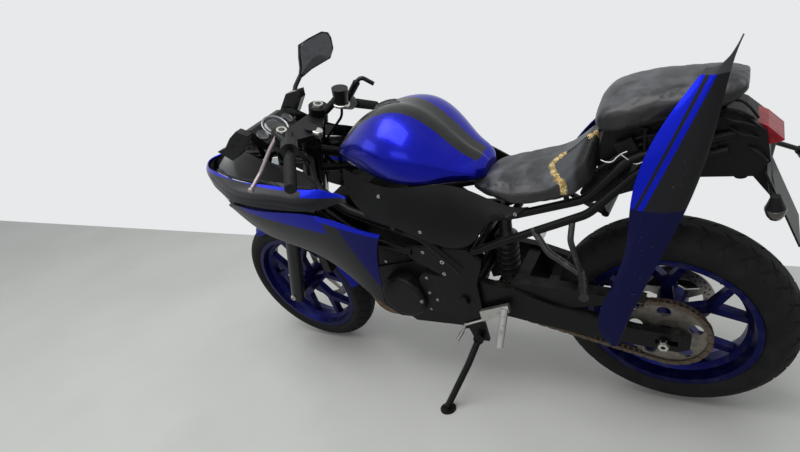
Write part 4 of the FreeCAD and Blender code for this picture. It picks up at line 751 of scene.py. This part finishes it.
GRIP_MM = 145.0
BAR_ENDS = (("grip_left", (1000, 118, 996), (826, 345, 940)),
            ("grip_right", (1000, -118, 996), (1044, -369, 866)))
for name, inner, outer in BAR_ENDS:
    run = (Vector(outer) - Vector(inner)).normalized()
    start = Vector(outer) - run * GRIP_MM
    grip = grown(name, grip_tree, {
        "Start": spot(*start), "End": spot(*outer), "Radius": 0.0162, "Rib height": 0.0007, "Ribs": 26.0,
        "Finish": grip_rubber.material}, grip_rubber)
    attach(grip, "steering")
    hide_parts("grips")

# Radiator fins: thin slats up the front of the core.
slat_tree, given = new_tree("cooling_slats", ("Count", "NodeSocketInt"), ("Start", "NodeSocketVector"),
                            ("Step", "NodeSocketVector"), ("Slat", "NodeSocketVector"),
                            ("Finish", "NodeSocketMaterial"))
slats_at = add(slat_tree, "GeometryNodeMeshLine", {
    "Count": given["Count"], "Start Location": given["Start"], "Offset": given["Step"]},
    mode="OFFSET").outputs[0]
slat = add(slat_tree, "GeometryNodeMeshCube", {"Size": given["Slat"]}).outputs[0]
slats = add(slat_tree, "GeometryNodeInstanceOnPoints", {
    "Points": slats_at, "Instance": slat, "Rotation": (LEAN, PITCH, 0)}).outputs[0]
finish_tree(slat_tree, slats)
fins = grown("radiator_fins", slat_tree, {
    "Count": 52, "Start": spot(1106, 0, 481), "Step": spot(1105.72, 0, 485) - spot(1106, 0, 481),
    "Slat": Vector((0.005, 0.276, 0.0009)), "Finish": black_oxide.material}, black_oxide)
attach(fins, "frame_body")


# Tyres, turned, with slanting grooves cut in their tread.
TREAD = ((6, 40, 0, 1.1, 2.6, 4.2), (18, 62, 34, -0.9, 2.2, 3.6), (44, 74, 8, 0.5, 1.8, 3.0))


def groove_depth(around, across, pitch):
    """How deep the tread is cut at a place, in mm; each groove's ends run out."""
    deepest = 0.0
    side = abs(across)
    shift = pitch / 2 if across < 0 else 0
    for start, stop, lead, slope, half, cut in TREAD:
        if start < side < stop:
            off = (around + shift - lead - slope * (side - start) + pitch / 2) % pitch - pitch / 2
            wall = min(1.0, max(0.0, (half + 1.2 - abs(off)) / 1.4))
            run_out = min(1.0, (side - start) / 5, (stop - side) / 5)
            deepest = max(deepest, cut * wall * run_out)
    return deepest


def tyre(name, node, body, axle, radius, width, rim_w, reach):
    around = 620
    crown = width / 2 + 3
    middle = radius - crown * math.cos(math.radians(12))
    profile = []
    spread = 61
    columns = 50
    for n in range(columns + 1):
        angle = math.radians(spread * (2 * n / columns - 1))
        height = min(radius, middle + crown * math.cos(angle))
        profile.append((crown * math.sin(angle), height, crown * angle, angle))
    low = radius - 229
    wall = [(width / 2 - 2.0, 229 + low * 0.50), (width / 2 - 2.5, 229 + low * 0.36),
            (width / 2 - 1.6, 229 + low * 0.33), (width / 2 - 3.5, 229 + low * 0.22),
            (rim_w / 2 + 3.0, 229 + low * 0.10), (rim_w / 2 + 0.5, 231.0), (rim_w / 2 - 7.8, 230.5),
            (rim_w / 2 - 7.8, 218.5)]
    profile += [(w, r, 0.0, None) for w, r in wall]
    profile += [(-w, r, 0.0, None) for w, r in reversed(wall)]
    rings = []
    for n in range(around):
        turn = math.tau * n / around
        ring = []
        for w, r, across, angle in profile:
            if angle is not None:
                depth = groove_depth(radius * turn, across, math.tau * radius / 34)
                w -= depth * math.sin(angle)
                r -= depth * math.cos(angle)
            ring.append(spot(axle.x + r * math.cos(turn), w, axle.z + r * math.sin(turn)))
        rings.append(ring)
    points, faces = ringed(rings + [rings[0]], closed_ends=False)
    piece = mesh_piece(name, points, faces, tyre_rubber)
    outward(piece.data)
    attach(piece, body)
    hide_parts(node)


tyre("tyre_front_treaded", "front_tyre", "front_wheel", FRONT_AXLE, 293, 110, 92, 60)
tyre("tyre_rear_treaded", "rear_tyre", "rear_wheel", REAR_AXLE, 314, 142, 118, 76)


# Seats: a loft through the sections of the pad, swollen a little by cloth under pressure.
def section(x, half_w, low, top, crown=0.55, shoulder=0.75):
    """A closed smooth section across the machine, flat below and crowned above."""
    mid = low + (top - low) * crown
    corners = [(0, top), (half_w * shoulder, top - (top - mid) * 0.35), (half_w, mid),
               (half_w * 0.86, low + (top - low) * 0.08), (0, low),
               (-half_w * 0.86, low + (top - low) * 0.08),
               (-half_w, mid), (-half_w * shoulder, top - (top - mid) * 0.35)]
    return through([Vector((x, y, z)) for y, z in corners], 5, closed=True)


def swollen(name, sections, cap_mm, finishes):
    """A closed pad between sections, remeshed and blown up by no more than the cap."""
    middle = sum((p for ring in sections for p in ring), Vector()) / sum(len(ring) for ring in sections)
    columns = [through([ring[i] for ring in sections], 6) for i in range(len(sections[0]))]
    rings = [[column[k] for column in columns] for k in range(len(columns[0]))]
    points, faces = ringed([[spot(*(middle + (p - middle) * 0.985)) for p in ring] for ring in rings])
    pad = mesh_piece(name, points, faces, *finishes)
    outward(pad.data)
    remesh = pad.modifiers.new("remesh", "REMESH")
    remesh.mode = "VOXEL"
    remesh.voxel_size = 0.005
    pad.data = bpy.data.meshes.new_from_object(pad.evaluated_get(bpy.context.evaluated_depsgraph_get()))
    pad.modifiers.clear()
    rest = [v.co.copy() for v in pad.data.vertices]
    cloth = pad.modifiers.new("cloth", "CLOTH")
    cloth.settings.use_pressure = True
    cloth.settings.uniform_pressure_force = 4.0
    cloth.settings.effector_weights.gravity = 0.0
    for moment in range(1, 21):
        scene.frame_set(moment)
    blown = bpy.data.meshes.new_from_object(pad.evaluated_get(bpy.context.evaluated_depsgraph_get()))
    pad.modifiers.clear()
    for vertex, start, end in zip(pad.data.vertices, rest, blown.vertices):
        move = end.co - start
        vertex.co = start + move * min(1.0, cap_mm / 1000 / max(move.length, 1e-9))
    scene.frame_set(1)
    softer = pad.modifiers.new("softer", "SUBSURF")
    softer.levels = softer.render_levels = 1
    pad.data = bpy.data.meshes.new_from_object(pad.evaluated_get(bpy.context.evaluated_depsgraph_get()))
    pad.modifiers.clear()
    pad.data.shade_smooth()
    return pad


def nearest(point, line):
    """How far a point of a plan view is from an open line."""
    best = 1e9
    for a, b in zip(line, line[1:]):
        run = b - a
        t = max(0.0, min(1.0, (point - a).dot(run) / run.dot(run)))
        best = min(best, (point - a - run * t).length)
    return best


def inside(point, loop):
    """Whether a point of a plan view is inside a loop."""
    crossings = 0
    for a, b in zip(loop, loop[1:] + loop[:1]):
        if (a.y > point.y) != (b.y > point.y) and point.x < a.x + (point.y - a.y) * (b.x - a.x) / (b.y - a.y):
            crossings += 1
    return crossings % 2 == 1


UNPARKED = PARKED.inverted()
seat = swollen("rider_seat_pad", [
    section(474, 56, 760, 784, 0.6), section(410, 100, 748, 790, 0.7), section(330, 126, 742, 792, 0.7),
    section(240, 132, 752, 806, 0.7), section(180, 122, 772, 842, 0.75), section(132, 104, 806, 886, 0.8)],
    6, (seat_cloth, seat_foam, torn_backing))

# The cover is torn open over the left of the seat's rear: foam stands in the edge of the tear.
TEAR = [Vector(p) for p in ((132, -20), (150, -14), (193, -12), (225, -14), (243, 0), (248, 24), (233, 62),
                            (210, 104), (188, 124), (160, 128), (120, 116), (118, 40))]
tear_edges = [TEAR[0:2], TEAR[3:10]]


def ragged_at(here):
    """How far the torn edge strays at a place, in mm."""
    coarse = math.sin(here.x * 0.61) * math.cos(here.y * 0.47)
    return 3.0 * coarse + 2.0 * math.sin(here.x * 1.7 + here.y * 1.3)


for vertex in seat.data.vertices:
    here = UNPARKED @ vertex.co * 1000
    plan = Vector((here.x, here.y))
    if here.z < 770 or here.x > 270:
        continue
    far = min(nearest(plan, edge) for edge in tear_edges)
    if inside(plan, TEAR):
        depth = 7.0 * min(1.0, far / 12)
        vertex.co += way(0.3, 0, -1) * depth / 1000
    if far < 7:
        vertex.co += way(0.1, 0, 1) * (3.5 + 0.6 * ragged_at(here)) * (1 - far / 7) / 1000
for face in seat.data.polygons:
    here = UNPARKED @ face.center * 1000
    plan = Vector((here.x, here.y))
    if here.z < 775 or here.x > 270:
        continue
    if min(nearest(plan, edge) for edge in tear_edges) < 6.5 + ragged_at(here) * 0.7:
        face.material_index = 1
    elif inside(plan, TEAR):
        face.material_index = 2
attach(seat, "frame_body")
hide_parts("rider_seat")

pillion = swollen("pillion_seat_pad", [
    section(112, 80, 926, 958, 0.6), section(84, 104, 914, 988, 0.65), section(0, 104, 922, 998, 0.7),
    section(-90, 90, 936, 1000, 0.7), section(-160, 72, 950, 1000, 0.7), section(-193, 48, 972, 996, 0.6)],
    5, (seat_cloth,))
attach(pillion, "frame_body")
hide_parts("pillion_seat")


def plate_piece(name, outline, facing, thickness_mm, finish, body):
    """A thin plate with a smooth outline."""
    normal = Vector(facing).normalized()
    loop = through([Vector(p) for p in outline], 4, closed=True)
    middle = sum(loop, Vector()) / len(loop)
    rings = []
    for share, height in ((0.0001, 0), (0.97, 0), (1.0, 0.3), (1.0, 0.7), (0.97, 1.0), (0.0001, 1.0)):
        raised = normal * height * thickness_mm
        rings.append([spot(*(middle + (p - middle) * share + raised)) for p in loop])
    piece = mesh_piece(name, *ringed(rings), finish)
    outward(piece.data)
    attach(piece, body)


# The right mirror's glass, inside the outline of the pale edge round it.
MIRROR_FACING = Vector((0.92, -0.38, -0.06)).normalized()
MIRROR_MIDDLE = Vector((1190, -335, 1113))
mirror_rim = []
for p in ((1213, -287, 1155), (1195, -331, 1162), (1174, -383, 1165), (1165, -403, 1154), (1162, -406, 1133),
          (1163, -397, 1096), (1172, -371, 1068), (1205, -291, 1061), (1222, -249, 1050), (1226, -239, 1055),
          (1221, -256, 1082), (1218, -268, 1116)):
    offset = Vector(p) - MIRROR_MIDDLE
    mirror_rim.append(MIRROR_MIDDLE + (offset - MIRROR_FACING * offset.dot(MIRROR_FACING)))
glass_edge = [MIRROR_MIDDLE + (p - MIRROR_MIDDLE) * 0.9 for p in mirror_rim]
plate_piece("mirror_glass", glass_edge, -MIRROR_FACING, 1.4, mirror_glass, "frame_body")


def turned_piece(name, profiles, centre, axis, count, finish, body):
    piece = mesh_piece(name, *turned(profiles, centre, axis, count), finish)
    outward(piece.data)
    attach(piece, body)


# Dials: a round one with its rim, and their glasses, on the slanting face of the panel.
PANEL_OUT = Vector((-0.72, 0, 0.69))
DIAL = (1182, 0, 973)
turned_piece("dial_rim", [[(0.01, -2), (45, -2), (47, 3), (45, 6), (41, 6), (39.5, 2), (0.01, 2)]],
             DIAL, PANEL_OUT, 56, clamp_alloy, "frame_body")
turned_piece("dial_glass", [[(0.01, 1), (39.5, 1), (39.5, 3.2), (20, 4.0), (0.01, 4.2)]],
             DIAL, PANEL_OUT, 56, dial_glass, "frame_body")
SIDES = (("left", 1), ("right", -1))
for side_name, side in SIDES:
    turned_piece("dial_side_" + side_name, [[(0.01, -2), (20, -2), (21, 2), (19, 4), (17, 2), (0.01, 2.4)]],
                 (1182, side * 62, 973), PANEL_OUT, 40, dial_glass, "frame_body")

# Fuel filler cap, flush in the tank's cover.
CAP_PROFILE = [(0.01, -8), (37, -8), (37, 1.5), (35, 3.2), (30, 3.2), (29, 2.2), (12, 2.6), (11, 3.8),
               (0.01, 4.0)]
turned_piece("filler_cap", [CAP_PROFILE], (705, 0, 1006), (-0.03, 0, 1), 48, black_oxide, "frame_body")
cap_screws = []
for n in range(6):
    angle = math.tau * (n + 0.5) / 6
    cap_screws.append(((705 + 33 * math.cos(angle), 33 * math.sin(angle), 1008.5), (0, 0, 1), 1.0))
screws("filler_screws", "frame_body", cap_screws, zinc_plate, 2.6, 2.0)

# The bare disc where the tank's badge sits.
for side_name, side in SIDES:
    turned_piece("badge_place_" + side_name, [[(0.01, -6), (14, -6), (14, 0.4), (12.5, 1.2), (0.01, 1.4)]],
                 (846, side * 53, 943), (0.56, side * 0.24, 0.8), 40, cowl_enamel, "frame_body")

# The bright ring round the foot of the brake fluid cup, and the ignition's ring between the fork legs.
turned_piece("fluid_cup_ring", [[(20, -2), (27.5, -2), (28.2, 2), (27.8, 6), (23.5, 7), (20, 6)]],
             (986, -130, 975), (-20, 0, 58), 40, zinc_plate, "steering")
turned_piece("ignition_ring", [[(9, -14), (17, -14), (17, 7), (15, 9), (9, 8)]],
             (1008, 0, 940), (-0.4226, 0, 0.9063), 36, zinc_plate, "steering")

# Indicator lenses over the ends of their stems.
turned_piece("indicator_lens_left",
             [[(0.01, -1), (20.4, -1), (20.8, 3), (17.5, 16), (12.6, 24.6), (0.01, 25.6)]],
             (-238, 84, 722), (0, 0, -1), 32, smoked_lens, "frame_body")
turned_piece("indicator_lens_right", [[(0.01, 24), (18.0, 24), (20.5, 34), (17, 40.5), (0.01, 41.5)]],
             (-286, -176, 716), (-0.55, -0.6, -0.56), 32, smoked_lens, "frame_body")

# Valve stems between two spokes of each rim.
VALVE_SEAT_R = 205
STEM_PROFILE = [(0.01, -4), (5, -4), (5, 6), (3.2, 9), (3.2, 26), (4, 27), (4, 33), (0.01, 34)]
for name, body, axle, turn in (("valve_front", "front_wheel", FRONT_AXLE, 1.9),
                               ("valve_rear", "rear_wheel", REAR_AXLE, 2.4)):
    inward = Vector((-math.cos(turn), 0, -math.sin(turn)))
    turned_piece(name, [STEM_PROFILE], axle - inward * VALVE_SEAT_R, inward, 16, black_oxide, body)


def wires(name, body, lines, radius_mm, finish):
    """Thin wiring, held along its way: smooth tubes through points of the machine."""
    curve = bpy.data.curves.new(name + "_lines", "CURVE")
    curve.dimensions = "3D"
    curve.bevel_depth = radius_mm / 1000
    curve.bevel_resolution = 3
    curve.use_fill_caps = True
    for line in lines:
        spline = curve.splines.new("NURBS")
        spline.points.add(len(line) - 1)
        for knot, place in zip(spline.points, line):
            knot.co = (*spot(*place), 1)
        spline.order_u = 3
        spline.use_endpoint_u = True
    holder = bpy.data.objects.new(name + "_holder", curve)
    scene.collection.objects.link(holder)
    mesh = bpy.data.meshes.new_from_object(holder.evaluated_get(bpy.context.evaluated_depsgraph_get()))
    mesh.materials.clear()
    mesh.materials.append(finish.material)
    bpy.data.objects.remove(holder)
    piece = bpy.data.objects.new(name, mesh)
    scene.collection.objects.link(piece)
    mesh.shade_smooth()
    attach(piece, body)


# Wiring and clips on the bare frame under the seat, where the cowl came away.
wires("seat_wiring", "frame_body", [
    [(150, 60, 800), (110, 72, 826), (70, 76, 842), (40, 72, 872), (-10, 64, 884), (-60, 54, 900)],
    [(150, 40, 792), (100, 60, 800), (60, 82, 832), (20, 78, 846), (-40, 60, 862), (-90, 50, 880)],
    [(128, 78, 818), (96, 84, 838), (60, 70, 860), (10, 60, 880), (-50, 52, 902), (-110, 52, 930)],
    [(60, 52, 870), (30, 70, 896), (-20, 72, 902), (-60, 60, 880), (-100, 50, 862)]], 3.2, grip_rubber)
wires("seat_clips", "frame_body", [
    [(104, 90, 854), (84, 94, 842), (60, 90, 868), (44, 88, 872)],
    [(60, 90, 868), (40, 92, 850), (26, 90, 836), (4, 88, 850)]], 1.6, zinc_plate)
wires("tail_wiring", "frame_body", [
    [(-120, 46, 936), (-150, 66, 946), (-176, 58, 936), (-196, 40, 910)],
    [(-130, 50, 930), (-156, 72, 922), (-182, 66, 914), (-206, 44, 890)],
    [(-140, 30, 944), (-166, 40, 956), (-190, 44, 940), (-204, 30, 906)],
    [(-150, 50, 900), (-170, 68, 890), (-196, 62, 880), (-214, 40, 862)],
    [(-186, 50, 852), (-206, 66, 846), (-222, 60, 820), (-226, 20, 800)]], 2.8, grip_rubber)


def slab(name, outline, y_low, y_high, finish, body, bevel_mm=6.0):
    """A moulded box across the machine, from its side outline, with its edges rounded."""
    rings = [[spot(x, y, z) for x, z in outline] for y in (y_low, y_high)]
    piece = mesh_piece(name, *ringed(rings), finish, smooth=False)
    outward(piece.data)
    rounded = piece.modifiers.new("rounded", "BEVEL")
    rounded.width = bevel_mm / 1000
    rounded.segments = 2
    piece.data = bpy.data.meshes.new_from_object(piece.evaluated_get(bpy.context.evaluated_depsgraph_get()))
    piece.modifiers.clear()
    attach(piece, body)


# The dark tray and boxes between the rails, under the pillion seat.
slab("battery_tray", [(128, 786), (60, 812), (0, 866), (-96, 930), (60, 916), (98, 918), (112, 880),
                      (124, 830)], -56, 56, moulded_black, "frame_body")
slab("relay_box", [(60, 846), (20, 866), (34, 900), (76, 882)], 56, 78, engine_cast, "frame_body", 3.0)
slab("fuse_box", [(6, 872), (-44, 884), (-36, 908), (8, 900)], 56, 72, moulded_black, "frame_body", 3.0)


def strip(name, upper, lower, thickness_mm, finish, body):
    """A thin panel between two lines of points, on both sides of the machine."""
    points = []
    faces = []
    for side in (1, -1):
        lines = [through([Vector((x, side * y, z)) for x, y, z in line], 5) for line in (upper, lower)]
        rings = []
        for high, low in zip(*lines):
            inward = Vector((0, -side * thickness_mm, 0))
            rings.append([spot(*p) for p in (high, low, low + inward, high + inward)])
        new_points, new_faces = ringed(rings)
        faces += [tuple(i + len(points) for i in face) for face in new_faces]
        points += new_points
    piece = mesh_piece(name, points, faces, finish, smooth=False)
    outward(piece.data)
    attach(piece, body)


# The return edges that lie behind the gap between the inner panels and the nose band,
# and behind the one between the band and the fairings.
strip("inner_cowl_lip",
      [(1478, 64, 866), (1400, 106, 856), (1240, 146, 858), (1085, 160, 849), (940, 166, 837)],
      [(1470, 92, 861), (1379, 118, 849), (1240, 148, 843), (1080, 168, 839), (932, 176, 833)],
      2.0, gloss_black, "frame_body")
strip("nose_band_lip", [(1400, 144, 794), (1245, 182, 790), (1085, 196, 787), (960, 195, 784)],
      [(1400, 152, 756), (1250, 182, 754), (1100, 196, 752), (965, 197, 745)], 2.0, nose_enamel, "frame_body")


floor_paint = Finish("floor_paint", "#b9bab6", 0.42)
floor_paint.grain(400, 0.3, 0.1)
floor_paint.tint("#aeafab", floor_paint.patches(700, 0.4, 0.65, 0.6))
# The floor ends where the photograph's wall begins, a metre behind the machine.
WALL_Y = -1.02
floor_corners = [(-7, WALL_Y, 0), (8, WALL_Y, 0), (8, 8, 0), (-7, 8, 0)]
floor = mesh_piece("floor", floor_corners, [(0, 1, 2, 3)], floor_paint)
